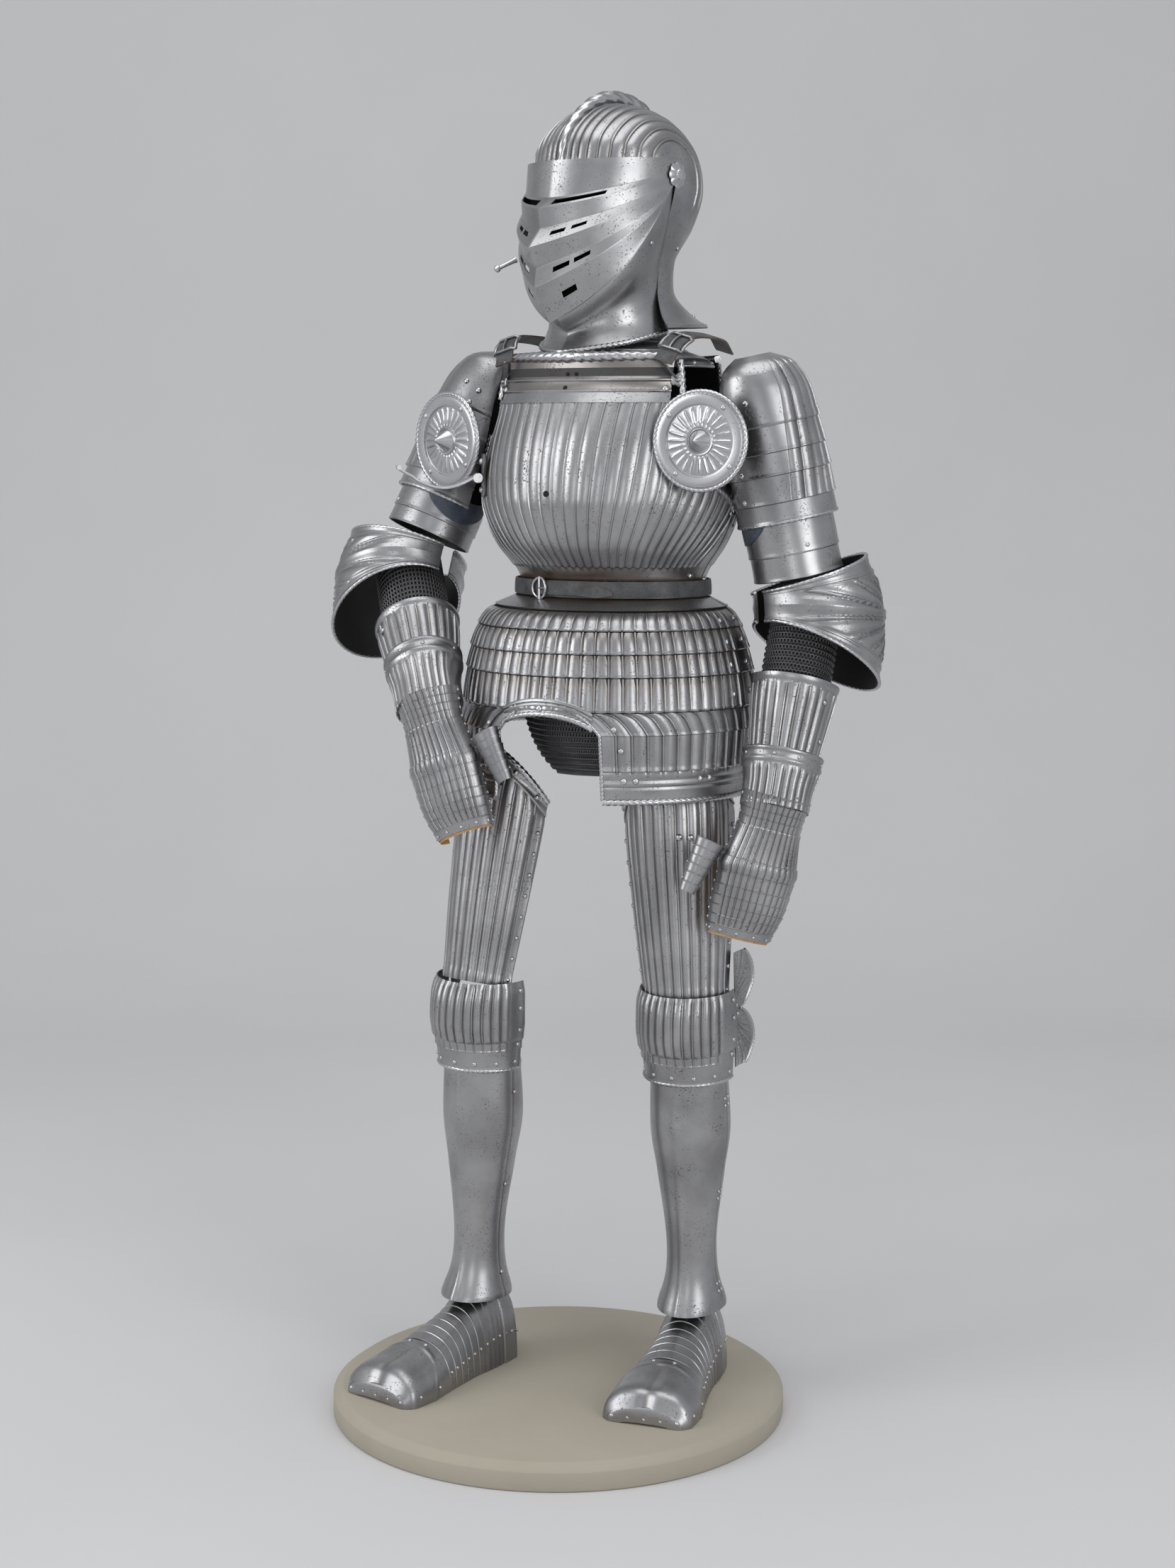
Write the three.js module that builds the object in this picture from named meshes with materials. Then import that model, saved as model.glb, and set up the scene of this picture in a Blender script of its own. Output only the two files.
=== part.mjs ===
// Suit of fluted plate armour on a round plinth.
// Millimetres, +Z up. The suit faces -Y and its wearer's left is +X.
// The origin is the centre of the plinth's underside.
import * as THREE from "three";
import { mergeVertices } from "three/addons/utils/BufferGeometryUtils.js";

// ---------------------------------------------------------------- driving sizes
const PLATE = 2;              // thickness of the steel plates
const MAIL = 3;               // thickness of the mail sheets
const LEATHER = 3;            // thickness of belt and straps
const SEAM = 0.5;             // clear gap between neighbouring pieces
const REST = 0.4;             // clear gap between the shoes and the plinth
const PLINTH = { radius: 312.5, height: 36, chamferHigh: 10, chamferIn: 14 };
const TORSO = { x: 20, y: 115 };
const HELMET = { turn: -9, pivotZ: 1678, shift: -4 };
const VISOR_SKIN = 112;       // half width of the visor at its pivots

// ---------------------------------------------------------------- finishes
const steel = new THREE.MeshStandardMaterial({ color: 0xb4b2b6, roughness: 0.3, metalness: 1 });
const mailSteel = new THREE.MeshStandardMaterial({ color: 0x5c5a58, roughness: 0.5, metalness: 1 });
const leather = new THREE.MeshStandardMaterial({ color: 0x3b403c, roughness: 0.7, metalness: 0 });
const plinthPaint = new THREE.MeshStandardMaterial({ color: 0xb5ac96, roughness: 0.9, metalness: 0 });

const suit = new THREE.Group();

// ---------------------------------------------------------------- small helpers
const degrees = (angle) => (angle * Math.PI) / 180;
const mix = (a, b, t) => a + (b - a) * t;
const point = (x, y, z) => new THREE.Vector3(x, y, z);

/** Read a table of sections at one place, straight between its rows. */
function sectionAt(rows, key, place) {
  const rising = rows[rows.length - 1][key] > rows[0][key];
  const sorted = rising ? rows : [...rows].reverse();
  let index = 0;
  while (index < sorted.length - 2 && sorted[index + 1][key] < place) index += 1;
  const low = sorted[index];
  const high = sorted[index + 1];
  const t = THREE.MathUtils.clamp((place - low[key]) / (high[key] - low[key]), 0, 1);
  const section = {};
  for (const name of Object.keys(low)) section[name] = mix(low[name], high[name], t);
  return section;
}

/** A point of an oval ring: angle 0 is the front, +90 degrees the wearer's left. */
function onRing(section, angle, z) {
  const across = Math.sin(degrees(angle));
  const ahead = Math.cos(degrees(angle));
  const reach = ahead > 0 ? section.front : section.back;
  const midX = section.midX ?? 0;
  const midY = section.midY ?? 0;
  return point(midX + section.side * across, midY - reach * ahead, z);
}

/** A thin closed shell: the outer skin is surface(u, v), the wall lies inside it. */
function shell(surface, columns, rows, wall, wrap = false) {
  const outer = [];
  const inner = [];
  const step = 1e-3;
  for (let row = 0; row <= rows; row += 1) {
    for (let column = 0; column < columns + (wrap ? 0 : 1); column += 1) {
      const u = column / columns;
      const v = row / rows;
      const uLow = wrap ? u - step : Math.max(u - step, 0);
      const uHigh = wrap ? u + step : Math.min(u + step, 1);
      const along = surface(uHigh, v).sub(surface(uLow, v));
      const down = surface(u, Math.min(v + step, 1)).sub(surface(u, Math.max(v - step, 0)));
      const skin = surface(u, v);
      const normal = along.cross(down).normalize();
      outer.push(skin);
      inner.push(skin.clone().addScaledVector(normal, wall));
    }
  }
  const stride = columns + (wrap ? 0 : 1);
  const count = outer.length;
  const at = (row, column) => row * stride + (column % stride);
  const faces = [];
  const quad = (a, b, c, d) => faces.push(a, b, c, a, c, d);
  for (let row = 0; row < rows; row += 1) {
    for (let column = 0; column < columns; column += 1) {
      const a = at(row, column);
      const b = at(row, column + 1);
      const c = at(row + 1, column + 1);
      const d = at(row + 1, column);
      quad(a, d, c, b);
      quad(count + a, count + b, count + c, count + d);
    }
  }
  for (let column = 0; column < columns; column += 1) {
    const top = [at(0, column), at(0, column + 1)];
    const foot = [at(rows, column), at(rows, column + 1)];
    quad(top[0], top[1], count + top[1], count + top[0]);
    quad(foot[1], foot[0], count + foot[0], count + foot[1]);
  }
  if (!wrap) {
    for (let row = 0; row < rows; row += 1) {
      const start = [at(row, 0), at(row + 1, 0)];
      const end = [at(row, columns), at(row + 1, columns)];
      quad(start[1], start[0], count + start[0], count + start[1]);
      quad(end[0], end[1], count + end[1], count + end[0]);
    }
  }
  return closedMesh([...outer, ...inner], faces);
}

/** Turn points and faces into a geometry whose faces point out. */
function closedMesh(points, faces) {
  const geometry = new THREE.BufferGeometry();
  geometry.setAttribute("position", new THREE.Float32BufferAttribute(points.flatMap((p) => [p.x, p.y, p.z]), 3));
  geometry.setIndex(faces);
  let volume = 0;
  for (let i = 0; i < faces.length; i += 3) {
    const [a, b, c] = [points[faces[i]], points[faces[i + 1]], points[faces[i + 2]]];
    volume += a.dot(b.clone().cross(c));
  }
  if (volume < 0) {
    for (let i = 0; i < faces.length; i += 3) [faces[i], faces[i + 1]] = [faces[i + 1], faces[i]];
    geometry.setIndex(faces);
  }
  return geometry;
}

/** Drop what a stock three.js geometry doesn't need, so that its vertices join. */
function bare(geometry) {
  geometry.deleteAttribute("normal");
  geometry.deleteAttribute("uv");
  return mergeVertices(geometry, 1e-3);
}

function addPiece(name, geometry, material, parent = suit) {
  const mesh = new THREE.Mesh(geometry, material);
  mesh.name = name;
  parent.add(mesh);
  return mesh;
}

/** A group whose local +Z runs from lower to upper and whose -Y looks along facing. */
function limbGroup(upper, lower, facing) {
  const up = upper.clone().sub(lower).normalize();
  const front = facing.clone().addScaledVector(up, -facing.dot(up)).normalize();
  const back = front.clone().negate();
  const left = back.clone().cross(up);
  const group = new THREE.Group();
  group.quaternion.setFromRotationMatrix(new THREE.Matrix4().makeBasis(left, back, up));
  group.position.copy(upper);
  suit.add(group);
  return group;
}

/** Read a list of evenly counted stations at a fraction of its length. */
function stationAt(stations, v) {
  const place = v * (stations.length - 1);
  const index = Math.min(Math.floor(place), stations.length - 2);
  return mix(stations[index], stations[index + 1], place - index);
}

/**
 * A plate wrapped round a limb or the trunk.
 * rows is the section table, key its place column; edges gives the plate's outline:
 * from/to are its two angles and top/foot its two ends, each a number or a function.
 * A plate with stations instead has a cross edge at each of them.
 */
function wrappedPlate(rows, key, edges, columns, steps, wall, side = 1) {
  const value = (edge, t) => (typeof edge === "function" ? edge(t) : edge);
  const surface = (u, v) => {
    const { stations } = edges;
    const place = stations ? stationAt(stations, v) : mix(value(edges.top, u), value(edges.foot, u), v);
    const angle = mix(value(edges.from, v), value(edges.to, v), u);
    const z = key === "z" ? place : -place;
    const skin = onRing(sectionAt(rows, key, place), angle, z);
    skin.x *= side;
    return skin;
  };
  return shell(surface, columns, steps, wall, edges.wrap ?? false);
}

// ---------------------------------------------------------------- plinth
function buildPlinth() {
  const { radius, height, chamferHigh, chamferIn } = PLINTH;
  const outline = [
    new THREE.Vector2(0, 0),
    new THREE.Vector2(radius, 0),
    new THREE.Vector2(radius, height - chamferHigh),
    new THREE.Vector2(radius - chamferIn, height),
    new THREE.Vector2(0, height),
  ];
  const geometry = bare(new THREE.LatheGeometry(outline, 40));
  geometry.rotateX(Math.PI / 2);
  addPiece("plinth", geometry, plinthPaint);
}

// ---------------------------------------------------------------- trunk
// Oval rings about the trunk's axis, from the waist up to the neck band.
const TRUNK_RINGS = [
  { z: 1122, side: 136, front: 104, back: 103 },
  { z: 1142, side: 134, front: 102, back: 102 },
  { z: 1163, side: 142, front: 116, back: 109 },
  { z: 1189, side: 160, front: 142, back: 119 },
  { z: 1222, side: 176, front: 159, back: 127 },
  { z: 1255, side: 182, front: 166, back: 131 },
  { z: 1290, side: 178, front: 164, back: 133 },
  { z: 1325, side: 170, front: 156, back: 132 },
  { z: 1381, side: 157, front: 132, back: 124 },
  { z: 1420, side: 156, front: 111, back: 112 },
  { z: 1441, side: 156, front: 104, back: 104 },
];
const BREAST = { top: 1380, bandTop: 1441, sideSeam: 93, armhole: 61, armholeFoot: 1262 };
const BACK = { sideSeam: 94, armhole: 122 };
const BREAST_STATIONS = [1379.5, 1330, 1290, 1252, 1215, 1180, 1148, 1123];
const BACK_STATIONS = [1440, 1370, 1300, 1250, 1195, 1148, 1123];

/** Angle of the breastplate's edge: the side seam below, the armhole above. */
function breastEdge(z) {
  const rise = THREE.MathUtils.clamp((z - BREAST.armholeFoot + 30) / 75, 0, 1);
  return mix(BREAST.sideSeam, BREAST.armhole, THREE.MathUtils.smoothstep(rise, 0, 1));
}

function backEdge(z) {
  const rise = THREE.MathUtils.clamp((z - BREAST.armholeFoot + 30) / 90, 0, 1);
  return mix(BACK.sideSeam, BACK.armhole, THREE.MathUtils.smoothstep(rise, 0, 1));
}

function buildTrunk() {
  const trunk = new THREE.Group();
  trunk.position.set(TORSO.x, TORSO.y, 0);
  suit.add(trunk);
  const breastZ = (v) => stationAt(BREAST_STATIONS, v);
  addPiece("breastplate", wrappedPlate(TRUNK_RINGS, "z", {
    from: (v) => -breastEdge(breastZ(v)),
    to: (v) => breastEdge(breastZ(v)),
    stations: BREAST_STATIONS,
  }, 14, BREAST_STATIONS.length - 1, PLATE), steel, trunk);
  addPiece("neck_band", wrappedPlate(TRUNK_RINGS, "z", {
    from: -55, to: 55, top: BREAST.bandTop, foot: BREAST.top,
  }, 10, 2, PLATE + 1), steel, trunk);
  const backZ = (v) => stationAt(BACK_STATIONS, v);
  addPiece("backplate", wrappedPlate(TRUNK_RINGS, "z", {
    from: (v) => backEdge(backZ(v)),
    to: (v) => 360 - backEdge(backZ(v)),
    stations: BACK_STATIONS,
  }, 12, BACK_STATIONS.length - 1, PLATE), steel, trunk);
  buildBelt(trunk);
  buildGussets(trunk);
  buildStraps(trunk);
  buildBesagews(trunk);
  buildLanceRest(trunk);
  buildGorget(trunk);
  buildSkirt(trunk);
}

const BELT = { foot: 1124, top: 1145, side: 142, front: 110, back: 111 };
const BUCKLE = { wide: 32, thick: 5, high: 29, angle: -22, stand: 3.6 };

/** The waist belt, a plain band round the narrowest part. */
function buildBelt(trunk) {
  const { side, front, back } = BELT;
  const rings = [{ z: BELT.foot, side, front, back }, { z: BELT.top, side, front, back }];
  addPiece("belt", wrappedPlate(rings, "z", {
    from: 0, to: 360, top: BELT.top, foot: BELT.foot, wrap: true,
  }, 26, 1, LEATHER), leather, trunk);
  const buckle = bare(new THREE.BoxGeometry(BUCKLE.wide, BUCKLE.thick, BUCKLE.high));
  const mesh = addPiece("belt_buckle", buckle, steel, trunk);
  const height = (BELT.top + BELT.foot) / 2;
  const spot = onRing(rings[0], BUCKLE.angle, height);
  mesh.position.set(spot.x, spot.y - BUCKLE.stand, height);
  mesh.rotation.z = degrees(BUCKLE.angle * 0.8);
}

// Armpit plates: a crescent that continues the breastplate round each armhole.
const GUSSET = { foot: 1248, top: 1392, width: 17 };

function buildGussets(trunk) {
  for (const [name, side] of [["gusset_left", 1], ["gusset_right", -1]]) {
    const z = (v) => mix(GUSSET.top, GUSSET.foot, v);
    const gap = 2.5;
    const widest = (v) => GUSSET.width * Math.sin(Math.PI * mix(0.12, 0.62, v));
    addPiece(name, wrappedPlate(TRUNK_RINGS, "z", {
      from: (v) => breastEdge(z(v)) + gap,
      to: (v) => Math.min(breastEdge(z(v)) + widest(v), backEdge(z(v)) - gap),
      top: GUSSET.top,
      foot: GUSSET.foot,
    }, 2, 6, PLATE, side), steel, trunk);
  }
}

// Shoulder straps: from the neck band, over the gorget, to the top of the backplate.
const STRAP = { width: 27, clear: 4 };
const STRAP_ROUTE = [
  { x: 122, y: -84, z: 1434 },
  { x: 130, y: -66, z: 1460 },
  { x: 138, y: -20, z: 1471 },
  { x: 136, y: 40, z: 1469 },
  { x: 124, y: 92, z: 1452 },
];

function buildStraps(trunk) {
  for (const [name, side] of [["strap_left", 1], ["strap_right", -1]]) {
    const route = new THREE.CatmullRomCurve3(STRAP_ROUTE.map((p) => point(p.x, p.y, p.z)));
    const surface = (u, v) => {
      const spot = route.getPoint(v);
      const across = (u - 0.5) * STRAP.width;
      return point(side * (spot.x + across * 0.96), spot.y, spot.z - across * 0.28);
    };
    addPiece(name, shell(surface, 2, 10, LEATHER), leather, trunk);
  }
}

// Round shields that hang before the armpits.
const BESAGEW = { radius: 67, z: 1331 };
const BESAGEW_PLACES = [
  { name: "besagew_left", x: 190, y: -104, turn: 5 },
  { name: "besagew_right", x: -202, y: -96, turn: -17 },
];

function buildBesagews(trunk) {
  const outline = [
    { radius: 0, depth: 26 },
    { radius: 11, depth: 8 },
    { radius: 22, depth: 5 },
    { radius: 52, depth: 5 },
    { radius: BESAGEW.radius - 6, depth: 6 },
    { radius: BESAGEW.radius, depth: 3 },
    { radius: BESAGEW.radius - 4, depth: 0 },
    { radius: 22, depth: 2.4 },
    { radius: 0, depth: 3.4 },
  ];
  for (const { name, x, y, turn } of BESAGEW_PLACES) {
    const disc = new THREE.LatheGeometry(outline.map((p) => new THREE.Vector2(p.radius, -p.depth)), 20);
    const mesh = addPiece(name, bare(disc), steel, trunk);
    mesh.rotation.z = degrees(turn);
    mesh.position.set(x, y, BESAGEW.z);
  }
}

// Lance rest on the right breast: a bolted bracket and an arm that folds up.
const LANCE = {
  angle: -48, z: 1284, bracketHigh: 60, bracketWide: 22, bracketThick: 4,
  stand: 14, barrel: 6.5, barrelLong: 27, armLong: 102, armWide: 20, armThick: 6, dip: 13,
};

function buildLanceRest(trunk) {
  const base = onRing(sectionAt(TRUNK_RINGS, "z", LANCE.z), LANCE.angle, LANCE.z);
  const frame = new THREE.Group();
  frame.position.copy(base);
  frame.rotation.z = degrees(-46);
  trunk.add(frame);
  const half = LANCE.bracketHigh / 2;
  const plate = new THREE.Shape();
  plate.moveTo(-half, -4);
  plate.lineTo(half, -5);
  plate.lineTo(half, -5 - LANCE.bracketThick);
  plate.lineTo(9, -5 - LANCE.bracketThick);
  plate.lineTo(2, -LANCE.stand + 1);
  plate.lineTo(-8, -LANCE.stand + 1);
  plate.lineTo(-12, -4 - LANCE.bracketThick);
  plate.lineTo(-half, -4 - LANCE.bracketThick);
  plate.closePath();
  const bracket = new THREE.ExtrudeGeometry(plate, { depth: LANCE.bracketWide, bevelEnabled: false });
  bracket.translate(0, 0, -LANCE.bracketWide / 2);
  bracket.rotateY(-Math.PI / 2);
  addPiece("lance_bracket", bare(bracket), steel, frame);
  const steps = 10;
  const surface = (u, v) => {
    const reach = v * LANCE.armLong;
    const sag = -LANCE.dip * Math.sin(Math.PI * Math.min(v * 1.25, 1)) + 14 * Math.max(v - 0.75, 0) * 4 * v;
    const wide = mix(LANCE.armWide, 9, v ** 1.5);
    return point((u - 0.5) * wide, -reach - LANCE.barrel, sag + LANCE.armThick / 2);
  };
  const arm = addPiece("lance_arm", shell(surface, 1, steps, LANCE.armThick), steel, frame);
  arm.position.set(0, -LANCE.stand - 0.5, -3);
}

// Collar that the helmet turns on: a cone under the straps, open at the neck.
const GORGET_RINGS = [
  { z: 1428, side: 147, front: 93, back: 97 },
  { z: 1440, side: 134, front: 88, back: 96 },
  { z: 1452, side: 98, front: 80, back: 90 },
  { z: 1462, side: 76, front: 74, back: 76 },
  { z: 1500, side: 71, front: 70, back: 72 },
];

function buildGorget(trunk) {
  addPiece("gorget", wrappedPlate(GORGET_RINGS, "z", {
    from: 0, to: 360, top: 1500, foot: 1428, wrap: true,
  }, 18, 4, PLATE), steel, trunk);
}

// ---------------------------------------------------------------- skirt of lames
const SKIRT_RINGS = [
  { z: 1121, side: 142, front: 108, back: 107 },
  { z: 1108, side: 168, front: 150, back: 113 },
  { z: 1083, side: 187, front: 176, back: 122 },
  { z: 1053, side: 197, front: 186, back: 132 },
  { z: 1023, side: 203, front: 191, back: 140 },
  { z: 978, side: 207, front: 196, back: 148 },
  { z: 948, side: 206, front: 195, back: 149 },
  { z: 899, side: 201, front: 191, back: 145 },
  { z: 860, side: 197, front: 188, back: 141 },
];
const FAULD_EDGES = [1108, 1083, 1053, 1023, 978];
const SKIRT = { flangeTop: 1121, sideSeam: 101, culetFoot: 935, tassetFoot: 860, archSide: 74, archMid: 8, seam: 1.7, swing: 0.1 };
const MAIL_RINGS = [
  { z: 1040, side: 120, front: 168, back: 100 },
  { z: 1000, side: 118, front: 158, back: 100 },
  { z: 950, side: 112, front: 132, back: 100 },
  { z: 884, side: 100, front: 98, back: 100 },
];

function buildSkirt(trunk) {
  addPiece("waist_flange", wrappedPlate(SKIRT_RINGS, "z", {
    from: -SKIRT.sideSeam, to: SKIRT.sideSeam, top: SKIRT.flangeTop, foot: FAULD_EDGES[0] + SKIRT.seam,
  }, 14, 1, PLATE), steel, trunk);
  for (let lame = 0; lame < FAULD_EDGES.length - 1; lame += 1) {
    addPiece(`fauld_lame_${lame + 1}`, wrappedPlate(SKIRT_RINGS, "z", {
      from: -SKIRT.sideSeam, to: SKIRT.sideSeam, top: FAULD_EDGES[lame], foot: FAULD_EDGES[lame + 1] + SKIRT.seam,
    }, 14, 1, PLATE), steel, trunk);
  }
  addPiece("culet", wrappedPlate(SKIRT_RINGS, "z", {
    from: SKIRT.sideSeam + 1, to: 359 - SKIRT.sideSeam, top: SKIRT.flangeTop, foot: SKIRT.culetFoot,
  }, 12, 4, PLATE), steel, trunk);
  const fauldFoot = FAULD_EDGES[FAULD_EDGES.length - 1];
  const archAngle = (z, reach) => THREE.MathUtils.radToDeg(Math.asin(reach / sectionAt(SKIRT_RINGS, "z", z).side));
  for (const [name, side, swing] of [["tasset_left", 1, 0], ["tasset_right", -1, SKIRT.swing]]) {
    const rings = SKIRT_RINGS.map((ring) => {
      const push = 1 + swing * Math.max(0, (fauldFoot - ring.z) / (fauldFoot - SKIRT.tassetFoot));
      return { z: ring.z, side: ring.side * push, front: ring.front * push, back: ring.back };
    });
    const z = (v) => mix(fauldFoot, SKIRT.tassetFoot, v);
    const reach = (v) => mix(34, SKIRT.archSide, Math.min(v * 4, 1) ** 0.5) + side * SKIRT.archMid;
    addPiece(name, wrappedPlate(rings, "z", {
      from: (v) => archAngle(z(v), reach(v)), to: SKIRT.sideSeam, top: fauldFoot, foot: SKIRT.tassetFoot,
    }, 8, 4, PLATE, side), steel, trunk);
  }
  addPiece("mail_skirt", wrappedPlate(MAIL_RINGS, "z", {
    from: (v) => -mix(62, 18, v ** 3), to: (v) => mix(62, 18, v ** 3), top: 1040, foot: 884,
  }, 8, 4, MAIL), mailSteel, trunk);
}

// ---------------------------------------------------------------- helmet
// Hoops over the head: each runs from ear to ear through its middle point.
// half is a hoop's half width, sideY and sideZ place its two ends, midY and midZ its
// middle, and ridge is how far a comb or keel stands up there.
const SKULL_HOOPS = [
  { step: 0, half: 105, sideY: 6, sideZ: 1690, midY: -104, midZ: 1691, ridge: 4 },
  { step: 1, half: 105, sideY: 7, sideZ: 1693, midY: -90, midZ: 1732, ridge: 6 },
  { step: 2, half: 105, sideY: 8, sideZ: 1695, midY: -46, midZ: 1766, ridge: 11 },
  { step: 3, half: 105, sideY: 11, sideZ: 1696, midY: 6, midZ: 1777, ridge: 22 },
  { step: 4, half: 106, sideY: 15, sideZ: 1692, midY: 66, midZ: 1765, ridge: 20 },
  { step: 5, half: 107, sideY: 18, sideZ: 1685, midY: 121, midZ: 1723, ridge: 14 },
  { step: 6, half: 107, sideY: 18, sideZ: 1670, midY: 141, midZ: 1668, ridge: 6 },
  { step: 7, half: 98, sideY: 16, sideZ: 1630, midY: 122, midZ: 1609, ridge: 1 },
  { step: 8, half: 84, sideY: 11, sideZ: 1580, midY: 84, midZ: 1560, ridge: 0 },
  { step: 9, half: 81, sideY: 9, sideZ: 1535, midY: 88, midZ: 1530, ridge: 0 },
  { step: 10, half: 91, sideY: 8, sideZ: 1500, midY: 128, midZ: 1505, ridge: 3 },
  { step: 11, half: 106, sideY: 8, sideZ: 1480, midY: 168, midZ: 1487, ridge: 8 },
];
const VISOR_HOOPS = [
  { step: 0, half: 112, sideY: 12, sideZ: 1701, midY: -115, midZ: 1695, ridge: 3 },
  { step: 1, half: 112, sideY: 14, sideZ: 1690, midY: -122, midZ: 1648, ridge: 5 },
  { step: 2, half: 112, sideY: 12, sideZ: 1684, midY: -132, midZ: 1637, ridge: 20 },
  { step: 3, half: 112, sideY: 8, sideZ: 1677, midY: -128, midZ: 1615, ridge: 22 },
  { step: 4, half: 112, sideY: 0, sideZ: 1668, midY: -138, midZ: 1597, ridge: 38 },
  { step: 5, half: 112, sideY: -8, sideZ: 1660, midY: -128, midZ: 1574, ridge: 34 },
  { step: 6, half: 112, sideY: -16, sideZ: 1652, midY: -129, midZ: 1555, ridge: 40 },
  { step: 7, half: 111, sideY: -26, sideZ: 1640, midY: -112, midZ: 1510, ridge: 30 },
];
const BEVOR_HOOPS = [
  { step: 0, half: 108, sideY: -10, sideZ: 1668, midY: -98, midZ: 1534, ridge: 26 },
  { step: 1, half: 106, sideY: -12, sideZ: 1645, midY: -98, midZ: 1514, ridge: 26 },
  { step: 2, half: 97, sideY: -8, sideZ: 1605, midY: -84, midZ: 1496, ridge: 22 },
  { step: 3, half: 83, sideY: -6, sideZ: 1560, midY: -82, midZ: 1482, ridge: 12 },
  { step: 4, half: 79, sideY: -5, sideZ: 1515, midY: -86, midZ: 1468, ridge: 10 },
  { step: 5, half: 88, sideY: -5, sideZ: 1472, midY: -96, midZ: 1450, ridge: 12 },
];
const KEEL = 2;               // how quickly a keel fades to the sides
const COMB_HALF = 0.16;       // part of a hoop's half that the comb takes

/**
 * A shell over hoops. reach is how far round each hoop the plate goes, in degrees.
 * A comb is a narrow ridge and its columns crowd to the middle; a keel is a broad one.
 */
function hoopShell(hoops, reach, columns, steps, wall, comb = false) {
  const last = hoops[hoops.length - 1].step;
  const crowd = comb ? 1.6 : 1;
  const surface = (u, v) => {
    const hoop = sectionAt(hoops, "step", v * last);
    const off = Math.abs(2 * u - 1);
    const angle = degrees(reach * Math.sign(u - 0.5) * off ** crowd);
    const swell = Math.cos(angle);
    const crest = comb ? Math.max(0, 1 - off / COMB_HALF) : (1 - Math.abs(Math.sin(angle))) ** KEEL;
    const ahead = point(0, hoop.midY - hoop.sideY, hoop.midZ - hoop.sideZ);
    const rise = ahead.clone().multiplyScalar(swell).addScaledVector(ahead.normalize(), hoop.ridge * crest);
    return point(hoop.half * Math.sin(angle), hoop.sideY + rise.y, hoop.sideZ + rise.z);
  };
  return shell(surface, columns, steps, wall);
}

// The lifting peg on the visor's right side.
const PEG = { radius: 3.6, root: { x: -60, y: -128, z: 1568 }, tip: { x: -74, y: -152, z: 1555 } };

function buildHelmet() {
  const helmet = new THREE.Group();
  helmet.position.set(TORSO.x + HELMET.shift, TORSO.y, 0);
  helmet.rotation.z = degrees(HELMET.turn);
  suit.add(helmet);
  addPiece("skull", hoopShell(SKULL_HOOPS, 83, 12, 11, PLATE, true), steel, helmet);
  addPiece("visor", hoopShell(VISOR_HOOPS, 87, 12, 7, PLATE), steel, helmet);
  addPiece("bevor", hoopShell(BEVOR_HOOPS, 86, 12, 5, PLATE), steel, helmet);
  for (const [name, side] of [["pivot_left", 1], ["pivot_right", -1]]) {
    const stud = bare(new THREE.CylinderGeometry(9, 16, 5, 12));
    stud.rotateZ(-side * Math.PI / 2);
    const mesh = addPiece(name, stud, steel, helmet);
    mesh.position.set(side * (VISOR_SKIN + 3.2), 0, HELMET.pivotZ);
  }
  const root = point(PEG.root.x, PEG.root.y, PEG.root.z);
  const tip = point(PEG.tip.x, PEG.tip.y, PEG.tip.z);
  const peg = bare(new THREE.CylinderGeometry(PEG.radius * 1.5, PEG.radius, root.distanceTo(tip), 8));
  const mesh = addPiece("visor_peg", peg, steel, helmet);
  mesh.position.copy(root.clone().add(tip).multiplyScalar(0.5));
  mesh.quaternion.setFromUnitVectors(point(0, 1, 0), tip.sub(root).normalize());
}

// ---------------------------------------------------------------- arms
// Each row is a section across the limb, down is its distance below the upper joint.
const PAULDRON_RINGS = [
  { down: -44, side: 24, front: 30, back: 30, midX: -6 },
  { down: -34, side: 42, front: 48, back: 48, midX: -5 },
  { down: -12, side: 56, front: 62, back: 62, midX: -3 },
  { down: 40, side: 64, front: 66, back: 68, midX: 0 },
  { down: 110, side: 68, front: 64, back: 68, midX: 0 },
  { down: 175, side: 66, front: 62, back: 64, midX: 0 },
];
const REREBRACE_RINGS = [
  { down: 176, side: 61, front: 59, back: 60 },
  { down: 236, side: 59, front: 58, back: 59 },
];
const COUTER_RINGS = [
  { down: -84, side: 74, front: 72, back: 76, midX: 4 },
  { down: -40, side: 84, front: 78, back: 92, midX: 12 },
  { down: 20, side: 86, front: 80, back: 102, midX: 16 },
  { down: 100, side: 80, front: 76, back: 84, midX: 14 },
];
const COUTER = { from: -60, to: 285, innerTop: -30, innerFoot: 8, outerFoot: 98 };
const ELBOW_MAIL_RINGS = [
  { down: -30, side: 46, front: 46, back: 46 },
  { down: 90, side: 46, front: 46, back: 46 },
];
const CUFF_RINGS = [
  { down: 76, side: 60, front: 58, back: 58 },
  { down: 130, side: 54, front: 50, back: 50 },
  { down: 205, side: 47, front: 42, back: 42 },
  { down: 252, side: 48, front: 43, back: 40 },
];
const CUFF = { top: 92, wristGap: 12 };
const HAND_RINGS = [
  { down: -14, side: 46, front: 40, back: 34, midY: 0 },
  { down: 20, side: 43, front: 33, back: 28, midY: 0 },
  { down: 90, side: 53, front: 30, back: 28, midY: 2 },
  { down: 140, side: 51, front: 30, back: 26, midY: 6 },
  { down: 178, side: 44, front: 24, back: 20, midY: 14 },
];
const THUMB_RINGS = [
  { down: 0, side: 20, front: 15, back: 12 },
  { down: 40, side: 15, front: 13, back: 10 },
  { down: 74, side: 11, front: 10, back: 8 },
];
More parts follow.
